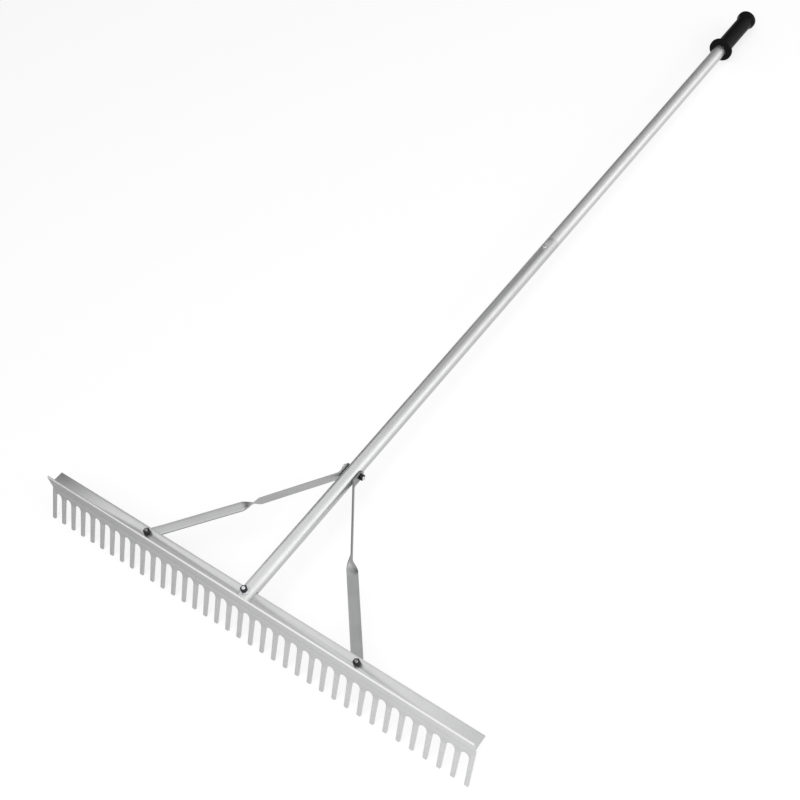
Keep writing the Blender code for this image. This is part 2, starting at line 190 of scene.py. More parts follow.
def lies_at(**places: float) -> Test:
    """Make a test of where corners lie.

    Args:
        places: The x, y or z that all the corners must have.

    Returns:
        The test.
    """
    wanted = [("xyz".index(axis), place) for axis, place in places.items()]
    return lambda corners: all(
        abs(corner[axis] - place) < PLACE_TOLERANCE for corner in corners for axis, place in wanted
    )


def extrude(offset: Sequence[float]) -> None:
    """Extrude what is selected by an offset."""
    bpy.ops.mesh.extrude_region_move(TRANSFORM_OT_translate={"value": tuple(offset)})


def face_outwards() -> None:
    """Point all the faces outwards, in edit mode."""
    choose_all()
    bpy.ops.mesh.normals_make_consistent(inside=False)


def make_solid(offset: Sequence[float]) -> None:
    """Extrude all the faces into a solid, in edit mode.

    Args:
        offset: How far the faces go, and which way.
    """
    bpy.ops.mesh.select_mode(type="FACE")
    choose_all()
    extrude(offset)
    face_outwards()


def set_down(piece: Object, matrix: Matrix) -> None:
    """Move the object and put the move into its mesh.

    Args:
        piece: The object.
        matrix: The move.
    """
    piece.matrix_world = matrix @ piece.matrix_world
    take(piece)
    bpy.ops.object.transform_apply(location=True, rotation=True, scale=True)


def finish_modifier(piece: Object, kind: str, **settings: object) -> None:
    """Add a modifier and apply it.

    Args:
        piece: The object.
        kind: The kind of modifier.
        settings: The modifier's settings by name.
    """
    take(piece)
    modifier = piece.modifiers.new(kind.lower(), kind)
    for setting, value in settings.items():
        setattr(modifier, setting, value)
    bpy.ops.object.modifier_apply(modifier=modifier.name)


def combine(piece: Object, tool: Object, operation: str = "DIFFERENCE") -> None:
    """Cut the piece by a tool, or join or intersect the two, and remove the tool."""
    finish_modifier(piece, "BOOLEAN", object=tool, operation=operation, solver="MANIFOLD")
    bpy.data.objects.remove(tool, do_unlink=True)


def tidy_mesh(piece: Object) -> None:
    """Merge doubled vertices, join faces that lie in one plane and point all the faces outwards.

    Args:
        piece: The object.
    """
    with editing(piece):
        choose_all()
        bpy.ops.mesh.remove_doubles(threshold=MERGE_DISTANCE)
        bpy.ops.mesh.dissolve_limited(angle_limit=FLAT_ANGLE)
        face_outwards()


def break_edges(piece: Object, width: float, segments: int = 2, over: float = SHARP_OVER) -> None:
    """Round the sharp edges.

    Args:
        piece: The object.
        width: How wide an edge is rounded.
        segments: How many facets the rounding has.
        over: The angle in degrees over which an edge is sharp.
    """
    finish_modifier(
        piece,
        "BEVEL",
        width=width,
        segments=segments,
        limit_method="ANGLE",
        angle_limit=math.radians(over),
        miter_outer="MITER_ARC",
    )


def box(name: str, centre: Sequence[float], size: Sequence[float]) -> Object:
    """Add a box.

    Args:
        name: The object's name.
        centre: The middle of the box.
        size: Its size along X, Y and Z.

    Returns:
        The box.
    """
    bpy.ops.mesh.primitive_cube_add(size=1.0)
    piece = added(name)
    set_down(piece, Matrix.Translation(centre) @ Matrix.Diagonal((*size, 1.0)))
    return piece


def cylinder(
    name: str, radius: float, reach: Range, facets: int, matrix: Matrix = IDENTITY
) -> Object:
    """Add a cylinder about the matrix's Z.

    Args:
        name: The object's name.
        radius: The cylinder's radius.
        reach: Its low and its high end.
        facets: The number of facets round the axis.
        matrix: Where the axis stands.

    Returns:
        The cylinder.
    """
    low, high = reach
    bpy.ops.mesh.primitive_cylinder_add(
        vertices=facets, radius=radius, depth=high - low, location=(0.0, 0.0, (low + high) / 2)
    )
    piece = added(name)
    set_down(piece, matrix)
    return piece


def drill(
    piece: Object,
    radius: float,
    reach: Range,
    matrix: Matrix = IDENTITY,
    facets: int = DRILL_FACETS,
) -> None:
    """Drill a hole about the matrix's Z, from its low to its high end."""
    combine(piece, cylinder("drill", radius, reach, facets, matrix))


def turn(
    name: str,
    profile: Sequence[Range],
    facets: int,
    matrix: Matrix = IDENTITY,
    shape: Shape = Shape.SOLID,
) -> Object:
    """Turn a profile about the matrix's Z, ring by ring.

    Args:
        name: The object's name.
        profile: Points of (radius, height).
        facets: The number of facets round the axis.
        matrix: Where the axis stands.
        shape: SOLID caps the first and the last ring, and RING closes the profile on itself.

    Returns:
        The turned object.
    """
    radius, height = profile[0]
    bpy.ops.mesh.primitive_circle_add(
        vertices=facets, radius=radius, fill_type=shape.value, location=(0.0, 0.0, height)
    )
    piece = added(name)
    set_down(piece, IDENTITY)
    is_ring = shape is Shape.RING
    with editing(piece):
        bpy.ops.mesh.select_mode(type="EDGE" if is_ring else "FACE")
        choose_all()
        for next_radius, next_height in [*profile[1:], profile[0]] if is_ring else profile[1:]:
            extrude((0.0, 0.0, next_height - height))
            grow, middle = next_radius / radius, (0.0, 0.0, next_height)
            bpy.ops.transform.resize(value=(grow, grow, 1.0), center_override=middle)
            radius, height = next_radius, next_height
        choose_all()
        bpy.ops.mesh.remove_doubles(threshold=MERGE_DISTANCE)
        face_outwards()
    set_down(piece, matrix)
    return piece


def rounded(corners: Sequence[Place], steps: int) -> list[Range]:
    """Round the corners of an open outline.

    Args:
        corners: The corners as (x, y, radius), where a radius of 0 leaves a corner sharp.
        steps: The number of steps of each arc.

    Returns:
        The points of the rounded outline.
    """
    points: list[Range] = []
    for index, (x, y, radius) in enumerate(corners):
        corner = Vector((x, y))
        if radius == 0.0:
            points.append((x, y))
            continue
        before = (Vector(corners[index - 1][:2]) - corner).normalized()
        after = (Vector(corners[index + 1][:2]) - corner).normalized()
        half = before.angle(after) / 2
        centre = corner + (before + after).normalized() * radius / math.sin(half)
        start = corner + before * radius / math.tan(half) - centre
        sweep = start.angle_signed(corner + after * radius / math.tan(half) - centre)
        for step in range(steps + 1):
            points.append(tuple(centre + Matrix.Rotation(-sweep * step / steps, 2) @ start))
    return points


def at(x: float, y: float, z: float, turned: Matrix = IDENTITY) -> Matrix:
    """Return a matrix for a place along the handle, with an optional rotation."""
    return Matrix.Translation((x, y, z)) @ turned


def held(share: float) -> float:
    """Return a share held between 0 and 1."""
    return min(max(share, 0.0), 1.0)


def hand_over(
    piece: Object, node: str, material: Material, body: Body = Body.RAKE
) -> None:
    """Finish a piece: shade it, lay it down, dress it and let it stand for its CAD node.

    Args:
        piece: The finished piece, in the handle's frame.
        node: The CAD node that it stands for.
        material: What it is made of.
        body: The body that it moves with.
    """
    take(piece)
    bpy.ops.object.shade_smooth_by_angle(angle=SMOOTH_ANGLE)
    set_down(piece, REST_POSE)
    piece.data.materials.clear()
    piece.data.materials.append(material)
    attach(piece, body.value)
    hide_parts(node)
    LOG.info("%s stands for %s with %d faces", piece.name, node, len(piece.data.polygons))


def add_finish(piece: Object, material: Material, faces: Sequence[int]) -> None:
    """Give one more material to some faces of a finished piece.

    Args:
        piece: The finished piece.
        material: The further material.
        faces: The indices of the faces that get it.
    """
    piece.data.materials.append(material)
    for index in faces:
        piece.data.polygons[index].material_index = len(piece.data.materials) - 1


# Shader groups


@dataclass
class NodeDesk:
    """A node tree with short ways to add and join nodes."""

    tree: NodeTree

    def add(self, kind: str, **settings: object) -> Node:
        """Add a node.

        Args:
            kind: The node's type.
            settings: The node's properties by name.

        Returns:
            The node.
        """
        node = self.tree.nodes.new(kind)
        for setting, value in settings.items():
            setattr(node, setting, value)
        return node

    def join(self, socket: NodeSocket, value: object) -> None:
        """Link a socket to another one, or set it to a value.

        Args:
            socket: The input to fill.
            value: An output to link, or a plain value.
        """
        if isinstance(value, NodeSocket):
            self.tree.links.new(value, socket)
        else:
            socket.default_value = value

    def feed(self, node: Node, **inputs: object) -> Node:
        """Join or set a node's inputs.

        Args:
            node: The node.
            inputs: Outputs or values by the inputs' names, with an underscore for a space.

        Returns:
            The node.
        """
        for name, value in inputs.items():
            self.join(node.inputs[name.replace("_", " ")], value)
        return node

    def noise(self, **inputs: object) -> NodeSocket:
        """Add a noise texture and return its value."""
        return self.feed(self.add("ShaderNodeTexNoise"), **inputs).outputs["Fac"]

    def bump(self, **inputs: object) -> NodeSocket:
        """Add a bump node and return its normal."""
        return self.feed(self.add("ShaderNodeBump"), **inputs).outputs["Normal"]

    def group(self, tree: NodeTree, **inputs: object) -> Sockets:
        """Place a node group and return its outputs."""
        return self.feed(self.add("ShaderNodeGroup", node_tree=tree), **inputs).outputs

    def own_place(self) -> NodeSocket:
        """Return the place on the object itself."""
        return self.add("ShaderNodeTexCoord").outputs["Object"]

    def stretch(self, value: object, source: Range, target: Range = (0.0, 1.0)) -> NodeSocket:
        """Map a value's range on another, clamped.

        Args:
            value: An output or a value.
            source: The range that it has.
            target: The range that it gets.

        Returns:
            The mapped value.
        """
        node = self.add("ShaderNodeMapRange")
        low, high = source
        to_low, to_high = target
        self.feed(node, Value=value, From_Min=low, From_Max=high, To_Min=to_low, To_Max=to_high)
        return node.outputs["Result"]

    def work_out(self, operation: str, first: object, second: object) -> NodeSocket:
        """Join two values by an operation.

        Args:
            operation: The operation of a math node.
            first: An output or a value.
            second: An output or a value.

        Returns:
            The result.
        """
        node = self.add("ShaderNodeMath", operation=operation)
        self.join(node.inputs[0], first)
        self.join(node.inputs[1], second)
        return node.outputs["Value"]

    def times(self, first: object, second: object) -> NodeSocket:
        """Multiply two values and return the result."""
        return self.work_out("MULTIPLY", first, second)

    def plus(self, first: object, second: object) -> NodeSocket:
        """Add two values and return the result."""
        return self.work_out("ADD", first, second)

    def tint(self, amount: NodeSocket, first: object, second: object) -> NodeSocket:
        """Blend two colours.

        Args:
            amount: How much of the second colour there is.
            first: A colour or a colour output.
            second: A colour or a colour output.

        Returns:
            The blended colour.
        """
        node = self.add("ShaderNodeMix", data_type="RGBA")
        self.join(node.inputs[0], amount)
        for index, colour in zip(MIX_COLOURS, (first, second)):
            value = colour if isinstance(colour, NodeSocket) else (*colour, 1.0)
            self.join(node.inputs[index], value)
        return node.outputs[MIX_RESULT]


def start_material(name: str) -> tuple[Material, NodeDesk, Node]:
    """Start a material.

    Args:
        name: The material's name.

    Returns:
        The material, its desk and its shader.
    """
    material = bpy.data.materials.new(name)
    material.use_nodes = True
    desk = NodeDesk(material.node_tree)
    return material, desk, desk.tree.nodes["Principled BSDF"]


def stage_glow(piece: Object, material: Material) -> None:
    """Dress a glowing object and hand it to the stage, without sampling it as a lamp.

    Args:
        piece: The floor or card.
        material: Its glowing material.
    """
    material.cycles.emission_sampling = "NONE"
    piece.data.materials.append(material)


@dataclass
class ShaderGroups:
    """The effects that the materials share, each a node group that is built once."""

    grain: NodeTree = field(init=False)
    marks: NodeTree = field(init=False)
    wear: NodeTree = field(init=False)
    fine_share: float = 0.45
    streaks: Range = (0.32, 0.68)
    smudges: Range = (0.48, 0.7)
    outer_edges: Range = (0.515, 0.58)
    speckles: Range = (0.35, 0.6)
    speckled: Range = (0.35, 1.0)

    def __post_init__(self) -> None:
        """Build the groups."""
        self.grain = self.build_drawn_grain()
        self.marks = self.build_handling_marks()
        self.wear = self.build_edge_wear()

    @staticmethod
    def start(
        name: str, inputs: Sequence[str], outputs: Sequence[str]
    ) -> tuple[NodeDesk, Sockets, Node]:
        """Start a group.

        Args:
            name: The group's name.
            inputs: The names of the inputs, numbers all, that follow a vector.
            outputs: The names of the outputs, numbers all.

        Returns:
            The group's desk, what it is given and its output node.
        """
        tree = bpy.data.node_groups.new(name, "ShaderNodeTree")
        tree.interface.new_socket("Vector", in_out="INPUT", socket_type="NodeSocketVector")
        for way, sockets in (("INPUT", inputs), ("OUTPUT", outputs)):
            for socket in sockets:
                tree.interface.new_socket(socket, in_out=way, socket_type="NodeSocketFloat")
        desk = NodeDesk(tree)
        return desk, desk.add("NodeGroupInput").outputs, desk.add("NodeGroupOutput")

    def build_drawn_grain(self) -> NodeTree:
        """Build fine lines that a die or rollers leave, on a vector stretched along them.

        Returns:
            The group, which puts out the streaks and their height.
        """
        desk, given, result = self.start("drawn_grain", ("Depth",), ("Streak", "Height"))
        broad = desk.noise(Vector=given["Vector"], Scale=1.0, Detail=3.0)
        fine = desk.noise(Vector=given["Vector"], Scale=5.5, Detail=2.0)
        both = desk.plus(
            desk.times(broad, 1.0 - self.fine_share), desk.times(fine, self.fine_share)
        )
        streak = desk.stretch(both, self.streaks)
        desk.feed(result, Streak=streak, Height=desk.times(streak, given["Depth"]))
        return desk.tree

    def build_handling_marks(self) -> NodeTree:
        """Build soft smudges where hands and soil have rubbed.

        Returns:
            The group, which puts out how strong a smudge is.
        """
        desk, given, result = self.start("handling_marks", ("Scale", "Strength"), ("Mark",))
        vector, scale = given["Vector"], given["Scale"]
        cloud = desk.noise(Vector=vector, Scale=scale, Detail=5.0, Roughness=0.62)
        mark = desk.stretch(cloud, self.smudges)
        desk.feed(result, Mark=desk.times(mark, given["Strength"]))
        return desk.tree

    def build_edge_wear(self) -> NodeTree:
        """Build a mask of the outer edges, broken up by fine noise.

        Returns:
            The group, which puts out the wear.
        """
        desk, given, result = self.start("edge_wear", ("Strength",), ("Wear",))
        sharpness = desk.add("ShaderNodeNewGeometry").outputs["Pointiness"]
        edges = desk.stretch(sharpness, self.outer_edges)
        speckle = desk.noise(Vector=given["Vector"], Scale=260.0, Detail=2.0)
        broken = desk.times(edges, desk.stretch(speckle, self.speckles, self.speckled))
        desk.feed(result, Wear=desk.times(broken, given["Strength"]))
        return desk.tree


# Finishes


@dataclass(frozen=True)
class MetalFinish:
    """A bare or plated metal with drawn grain, handling marks and worn edges."""

    colour: Colour
    streak_colour: Colour
    worn_colour: Colour
    mark_colour: Colour
    roughness: Range
    grain_pitch: float
    grain_run: float
    grain_depth: float
    mark_scale: float
    marks: float
    wear: float
    mark_roughness: float = 0.12
    bump: float = 0.35
    heading: float = 0.0

    def darker(self, share: float) -> "MetalFinish":
        """Take the finish's colours down.

        Args:
            share: The share of each colour that stays.

        Returns:
            The darker finish.
        """
        names = ("colour", "streak_colour", "worn_colour", "mark_colour")
        down = {name: tuple(share * part for part in getattr(self, name)) for name in names}
        return replace(self, **down)

    def material(self, name: str, groups: ShaderGroups) -> Material:
        """Build the material.

        Args:
            name: The material's name.
            groups: The shader groups that it uses.

        Returns:
            The material.
        """
        material, desk, shader = start_material(name)
        place = desk.own_place()
        drawn = desk.add("ShaderNodeMapping", vector_type="TEXTURE")
        stretched = (self.grain_pitch, self.grain_run, self.grain_pitch)
        desk.feed(drawn, Vector=place, Rotation=(0.0, 0.0, self.heading), Scale=stretched)

        grain = desk.group(groups.grain, Vector=drawn.outputs["Vector"], Depth=1.0)
        streak = grain["Streak"]
        marks = desk.group(
            groups.marks, Vector=place, Scale=self.mark_scale, Strength=self.marks
        )
        mark = marks["Mark"]
        wear = desk.group(groups.wear, Vector=place, Strength=self.wear)["Wear"]

        drawn_colour = desk.tint(streak, self.colour, self.streak_colour)
        marked = desk.tint(mark, drawn_colour, self.mark_colour)
        worn = desk.tint(wear, marked, self.worn_colour)
        drawn_rough = desk.stretch(streak, (0.0, 1.0), self.roughness)
        rough = desk.plus(drawn_rough, desk.times(mark, self.mark_roughness))
        normal = desk.bump(Height=grain["Height"], Strength=self.bump, Distance=self.grain_depth)
        desk.feed(shader, Base_Color=worn, Roughness=rough, Normal=normal, Metallic=1.0)
        return material


@dataclass(frozen=True)
class RubberFinish:
    """Black moulded rubber with a fine stipple and a dusty bloom."""

    colour: Colour
    bloom_colour: Colour
    roughness: float
    shine: float
    bloom_scale: float
    bloom: float
    bloom_roughness: float
    stipple_scale: float
    stipple_depth: float
    bump: float

    def material(self, name: str, groups: ShaderGroups) -> Material:
        """Build the material.

        Args:
            name: The material's name.
            groups: The shader groups that it uses.

        Returns:
            The material.
        """
        material, desk, shader = start_material(name)
        place = desk.own_place()
        marks = desk.group(
            groups.marks, Vector=place, Scale=self.bloom_scale, Strength=self.bloom
        )
        mark = marks["Mark"]
        stipple = desk.noise(Vector=place, Scale=self.stipple_scale, Detail=2.0)
        normal = desk.bump(Height=stipple, Strength=self.bump, Distance=self.stipple_depth)
        rough = desk.plus(desk.times(mark, self.bloom_roughness), self.roughness)
        colour = desk.tint(mark, self.colour, self.bloom_colour)
        desk.feed(shader, Base_Color=colour, Roughness=rough, Normal=normal)
        desk.feed(shader, Specular_IOR_Level=self.shine)
        return material


MILL_ALUMINIUM = MetalFinish(
    colour=(0.655, 0.658, 0.66),
    streak_colour=(0.705, 0.708, 0.71),
    worn_colour=(0.82, 0.82, 0.82),
    mark_colour=(0.58, 0.583, 0.585),
    roughness=(0.36, 0.44),
    grain_pitch=2.2 * MM,
    grain_run=160.0 * MM,
    grain_depth=0.03 * MM,
    mark_scale=14.0,
    marks=0.35,
    wear=0.55,
)
# Lit and shaded copies of the mill aluminium for the braces: painted shade darkens both strips, the
# right one much more than the left, as the light falls on each side.
STRIP_ALUMINIUM_PAINTED_SHADE: dict[Side, MetalFinish] = {
    Side.LEFT: replace(
        MILL_ALUMINIUM,
        colour=(0.575, 0.578, 0.58),
        streak_colour=(0.62, 0.623, 0.625),
        mark_colour=(0.50, 0.503, 0.505),
    ),
    Side.RIGHT: replace(
        MILL_ALUMINIUM,
        colour=(0.37, 0.373, 0.375),
        streak_colour=(0.41, 0.413, 0.415),
        mark_colour=(0.32, 0.323, 0.325),
    ),
}
# Painted highlight: a near-white aluminium for the lip's top faces, standing in for the light that
# catches the top edge.
LIP_PAINTED_HIGHLIGHT_ALUMINIUM = replace(
    MILL_ALUMINIUM,
    colour=(0.93, 0.93, 0.93),
    streak_colour=(0.96, 0.96, 0.96),
    worn_colour=(0.96, 0.96, 0.96),
    marks=0.0,
)
BRIGHT_ZINC = MetalFinish(
    colour=(0.62, 0.63, 0.65),
    streak_colour=(0.70, 0.71, 0.72),
    worn_colour=(0.80, 0.80, 0.80),
    mark_colour=(0.50, 0.50, 0.49),
    roughness=(0.26, 0.34),
    grain_pitch=1.4 * MM,
    grain_run=1.4 * MM,
    grain_depth=0.02 * MM,
    mark_scale=120.0,
    marks=0.4,
    wear=0.3,
)
# A darker copy of the bright zinc for the flange bolts: painted shade, as the same bolts elsewhere
# are bright zinc.
PAINTED_SHADE_ZINC = replace(
    BRIGHT_ZINC,
    colour=(0.16, 0.16, 0.165),
    streak_colour=(0.22, 0.22, 0.225),
    mark_colour=(0.12, 0.12, 0.12),
)
SPRING_STEEL = replace(
    BRIGHT_ZINC,
    colour=(0.34, 0.34, 0.35),
    streak_colour=(0.40, 0.40, 0.41),
    mark_colour=(0.28, 0.27, 0.26),
)
BLACK_OXIDE = replace(
    BRIGHT_ZINC,
    colour=(0.030, 0.030, 0.032),
    streak_colour=(0.045, 0.045, 0.048),
    worn_colour=(0.20, 0.20, 0.21),
    mark_colour=(0.07, 0.067, 0.063),
    roughness=(0.30, 0.40),
    wear=0.5,
)
GRIP_RUBBER = RubberFinish(
    colour=(0.0030, 0.0030, 0.0033),
    bloom_colour=(0.0055, 0.0055, 0.0058),
    roughness=0.36,
    shine=0.10,
    bloom_scale=38.0,
    bloom=0.6,
    bloom_roughness=0.12,
    stipple_scale=900.0,
    stipple_depth=0.06 * MM,
    bump=0.5,
)


# Sub-assemblies


@dataclass
class Hardware:
    """Quarter inch hex bolts and nuts, and washers curved to the tube."""

    shank_radius: float = 3.175 * MM
    root_radius: float = 2.6 * MM
    thread_pitch: float = 1.27 * MM
    thread_length: float = 19.0 * MM
    thread_facets: int = 40
    plain_shank: float = 1.5 * MM
    protrusion: float = 2.4 * MM
    end_chamfer: float = 1.0 * MM
    across_flats: float = 11.1 * MM
    head_height: float = 4.4 * MM
    nut_height: float = 5.6 * MM
    nut_mouth: float = 3.55 * MM
    nut_bite: float = 0.1 * MM
    bore_past: float = 0.5 * MM
    chamfer_slope: float = math.pi / 6
    corner_reach: float = 0.2 * MM
    chamfer_past: float = 1.0 * MM
    chamfer_facets: int = 64
    face_share: float = 0.95
    edge_round: float = 0.15 * MM
    hole_radius: float = 3.5 * MM
    saddle_radius: float = 8.5 * MM
    saddle_thickness: float = 1.5 * MM
    saddle_round: float = 0.25 * MM
    saddle_facets: int = 160
    ring_past: float = 2.0 * MM
    blank_past: float = 5.0 * MM
    saddle_rim_facets: int = 72

    @property
    def corner_radius(self) -> float:
        """The distance from the middle of a hexagon to its corners."""
        return self.across_flats / 2 / math.cos(math.pi / HEX_SIDES)

    def hexagon(self, name: str, low: float, high: float, both_ends: bool) -> Object:
        """Model a hexagonal block about Z, with its corners turned off.

        Args:
            name: The object's name.
            low: The height of its low end.
            high: The height of its high end.
            both_ends: Whether the corners are turned off at both ends, or only at the low one.

        Returns:
            The block.
        """
        block = cylinder(name, self.corner_radius, (low, high), HEX_SIDES)
        reach = self.corner_radius + self.corner_reach
        face = self.across_flats / 2 * self.face_share
        drop = (reach - face) * math.tan(self.chamfer_slope)
        profile = [(face, low), (reach, low + drop)]
        past_end = high + self.chamfer_past
        profile += [(reach, high - drop), (face, high)] if both_ends else [(reach, past_end)]
        combine(block, turn("chamfer", profile, self.chamfer_facets), "INTERSECT")
        return block

    def bolt(self, name: str, clamped: float) -> Object:
        """Model a hex bolt about Z whose head bears at Z = 0.

        Args:
            name: The object's name.
            clamped: The thickness of all that it clamps.

        Returns:
            The bolt.
        """
        length = clamped + 2 * FIT_GAP + self.nut_height + self.protrusion
        start = max(length - self.thread_length, self.plain_shank)
        head = self.hexagon(name, -FIT_GAP - self.head_height, -FIT_GAP, both_ends=False)
        profile = [(self.shank_radius, -FIT_GAP - self.head_height / 2), (self.shank_radius, start)]
        height, step = start, self.thread_pitch / 2
        while height + 2 * step < length - self.end_chamfer:
            profile += [(self.root_radius, height + step), (self.shank_radius, height + 2 * step)]
            height += 2 * step
        profile += [
            (self.shank_radius, length - self.end_chamfer),
            (self.shank_radius - self.end_chamfer, length),
        ]
        combine(head, turn("shank", profile, self.thread_facets), "UNION")
        break_edges(head, self.edge_round, segments=1, over=50.0)
        return head

    def nut(self, name: str) -> Object:
        """Model a hex nut about Z that bears at Z = 0.

        Args:
            name: The object's name.

        Returns:
            The nut.
        """
        low, high = FIT_GAP, FIT_GAP + self.nut_height
        block = self.hexagon(name, low, high, both_ends=True)
        mouth, bore = self.nut_mouth, self.shank_radius - self.nut_bite
        profile = [
            (mouth, low - self.bore_past),
            (mouth, low),
            (bore, low + mouth - bore),
            (bore, high - mouth + bore),
            (mouth, high),
            (mouth, high + self.bore_past),
        ]
        combine(block, turn("bore", profile, self.thread_facets))
        break_edges(block, self.edge_round, over=25.0)
        return block

    def saddle(self, name: str, tube_radius: float) -> Object:
        """Model a round washer about Z, curved to a tube along Y through the origin.

        Args:
            name: The object's name.
            tube_radius: The tube's radius.

        Returns:
            The washer.
        """
        inside = tube_radius + FIT_GAP
        outside = inside + self.saddle_thickness
        reach = self.saddle_radius + self.ring_past
        profile = [(outside, -reach), (outside, reach), (inside, reach), (inside, -reach)]
        washer = turn(name, profile, self.saddle_facets, ALONG_HANDLE, Shape.RING)
        through = (0.0, outside + self.blank_past)
        blank = cylinder("blank", self.saddle_radius, through, self.saddle_rim_facets)
        combine(washer, blank, "INTERSECT")
        drill(washer, self.hole_radius, through)
        tidy_mesh(washer)
        break_edges(washer, self.saddle_round, over=40.0)
        return washer


@dataclass
class RakeHead:
    """The extruded head: a raised lip, a flange and a punched tooth plate, bent forward."""

    groups: ShaderGroups
    wall: float = FLANGE_WALL
    flange_depth: float = 24.6 * MM
    lip_height: float = 19.2 * MM
    bend_drop: float = 10.5 * MM
    bend_radius_inside: float = 1.5 * MM
    bend_steps: int = 8
    plate_length: float = 67.5 * MM
    plate_lean: float = math.radians(26.3)
    corner_fillet: float = 1.2 * MM
    fillet_steps: int = 5
    tooth_count: int = 37
    tooth_pitch: float = 25.4 * MM
    tooth_tip_width: float = 7.3 * MM
    tip_chamfer: float = 0.8 * MM
    gap_top_drop: float = 9.1 * MM
    gap_arch_radius: float = 7.9 * MM
    gap_arch_facets: int = 72
    punch_past: float = 5.0 * MM
    punch_clearance: float = 3.0 * MM
    end_margin: float = 3.3 * MM
    edge_round: float = 0.35 * MM
    drill_reach: Range = (-8.0 * MM, 5.0 * MM)
    grain_heading: float = math.pi / 2

    @property
    def half_length(self) -> float:
        """Half the head's length."""
        return self.tooth_pitch * (self.tooth_count - 1) / 2 + self.end_margin

    @property
    def down_plate(self) -> Vector:
        """The direction down the tooth plate."""
        return Vector((0.0, -math.sin(self.plate_lean), -math.cos(self.plate_lean)))

    def draw_section(self) -> Object:
        """Draw the section at the left end.

        Returns:
            A strip of faces from the lip to the tooth tips.
        """
        web_back, web_front = -self.flange_depth, -self.flange_depth - self.wall
        bpy.ops.mesh.primitive_plane_add(size=1.0, rotation=(0.0, math.pi / 2, 0.0))
        head = added("punched_rake_head")
        middle = (-self.half_length, (web_back + web_front) / 2, self.lip_height / 2)
        size = Matrix.Diagonal((1.0, self.wall, self.lip_height, 1.0))
        set_down(head, Matrix.Translation(middle) @ size)
        tangent = self.bend_radius_inside * math.tan(self.plate_lean / 2)
        bend_start = -self.bend_drop + tangent
        behind, below = lies_at(y=web_back), lies_at(z=-self.wall)
        reach = web_back + PLACE_TOLERANCE
        with editing(head):
            choose(head, Domain.EDGE, lies_at(z=0.0))
            extrude((0.0, 0.0, -self.wall))
            choose(
                head,
                Domain.EDGE,
                lambda ends: behind(ends) and max(end.z for end in ends) < PLACE_TOLERANCE,
            )
            extrude((0.0, self.flange_depth, 0.0))
            choose(
                head,
                Domain.EDGE,
                lambda ends: below(ends) and max(end.y for end in ends) < reach,
            )
            extrude((0.0, 0.0, bend_start + self.wall))
            bpy.ops.mesh.spin(
                steps=self.bend_steps,
                angle=self.plate_lean,
                center=(-self.half_length, web_front - self.bend_radius_inside, bend_start),
                axis=(1.0, 0.0, 0.0),
            )
            extrude(self.down_plate * (self.plate_length - tangent))
        return head

    def punch(self) -> Object:
        """Model the punch for all the gaps between the teeth.

        Returns:
            The punch, standing in the tooth plate.
        """
        spring_line = self.gap_top_drop + self.gap_arch_radius
        half_gap = (self.tooth_pitch - self.tooth_tip_width) / 2
        tip = self.plate_length - spring_line
        bpy.ops.mesh.primitive_circle_add(
            vertices=self.gap_arch_facets, radius=self.gap_arch_radius, fill_type="NGON"
        )
        punch = added("punch")
        with editing(punch):
            choose_all()
            bpy.ops.mesh.bisect(
                plane_co=(0.0, 0.0, 0.0), plane_no=(0.0, 1.0, 0.0), clear_inner=True
            )
            choose(punch, Domain.EDGE, lies_at(y=0.0))
            half, place = self.gap_arch_radius, 0.0
            for next_half, next_place in (
                (half_gap, self.plate_length - self.tip_chamfer - spring_line),
                (half_gap + self.tip_chamfer, tip),
                (half_gap + self.tip_chamfer, tip + self.punch_past),
            ):
                extrude((0.0, place - next_place, 0.0))
                grow, middle = next_half / half, (0.0, -next_place, 0.0)
                bpy.ops.transform.resize(value=(grow, 1.0, 1.0), center_override=middle)
                half, place = next_half, next_place
            make_solid((0.0, 0.0, self.wall + 2 * self.punch_clearance))
        finish_modifier(
            punch,
            "ARRAY",
            count=self.tooth_count - 1,
            use_relative_offset=False,
            use_constant_offset=True,
            constant_offset_displace=(self.tooth_pitch, 0.0, 0.0),
        )
        up_plate = -self.down_plate
        across = Vector((1.0, 0.0, 0.0))
        frame = Matrix((across, up_plate, across.cross(up_plate))).transposed().to_4x4()
        plate_back = Vector((0.0, math.cos(self.plate_lean), -math.sin(self.plate_lean)))
        bend_point = Vector((0.0, -self.flange_depth - self.wall, -self.bend_drop))
        first_gap = Vector((-self.tooth_pitch * (self.tooth_count - 2) / 2, 0.0, 0.0))
        on_plate = bend_point + self.down_plate * spring_line
        frame.translation = on_plate + plate_back * (self.wall + self.punch_clearance) + first_gap
        set_down(punch, frame)
        return punch

    def build(self, hardware: Hardware) -> None:
        """Extrude, fillet, punch, drill and dress the head.

        Args:
            hardware: The bolts that go through it.
        """
        head = self.draw_section()
        behind, above, below = (
            lies_at(y=-self.flange_depth),
            lies_at(z=0.0),
            lies_at(z=-self.wall),
        )
        with editing(head):
            make_solid((2 * self.half_length, 0.0, 0.0))
            choose(
                head,
                Domain.EDGE,
                lambda ends: behind(ends)
                and abs(ends[0].x - ends[1].x) > self.half_length
                and (above(ends) or below(ends)),
            )
            bpy.ops.mesh.bevel(
                offset=self.corner_fillet,
                offset_type="OFFSET",
                segments=self.fillet_steps,
                affect="EDGES",
            )
        combine(head, self.punch())
        for offset in (-FLANGE_BOLTS, 0.0, FLANGE_BOLTS):
            drill(head, hardware.hole_radius, self.drill_reach, at(offset, BOLT_LINE, 0.0))
        tidy_mesh(head)
        break_edges(head, self.edge_round)
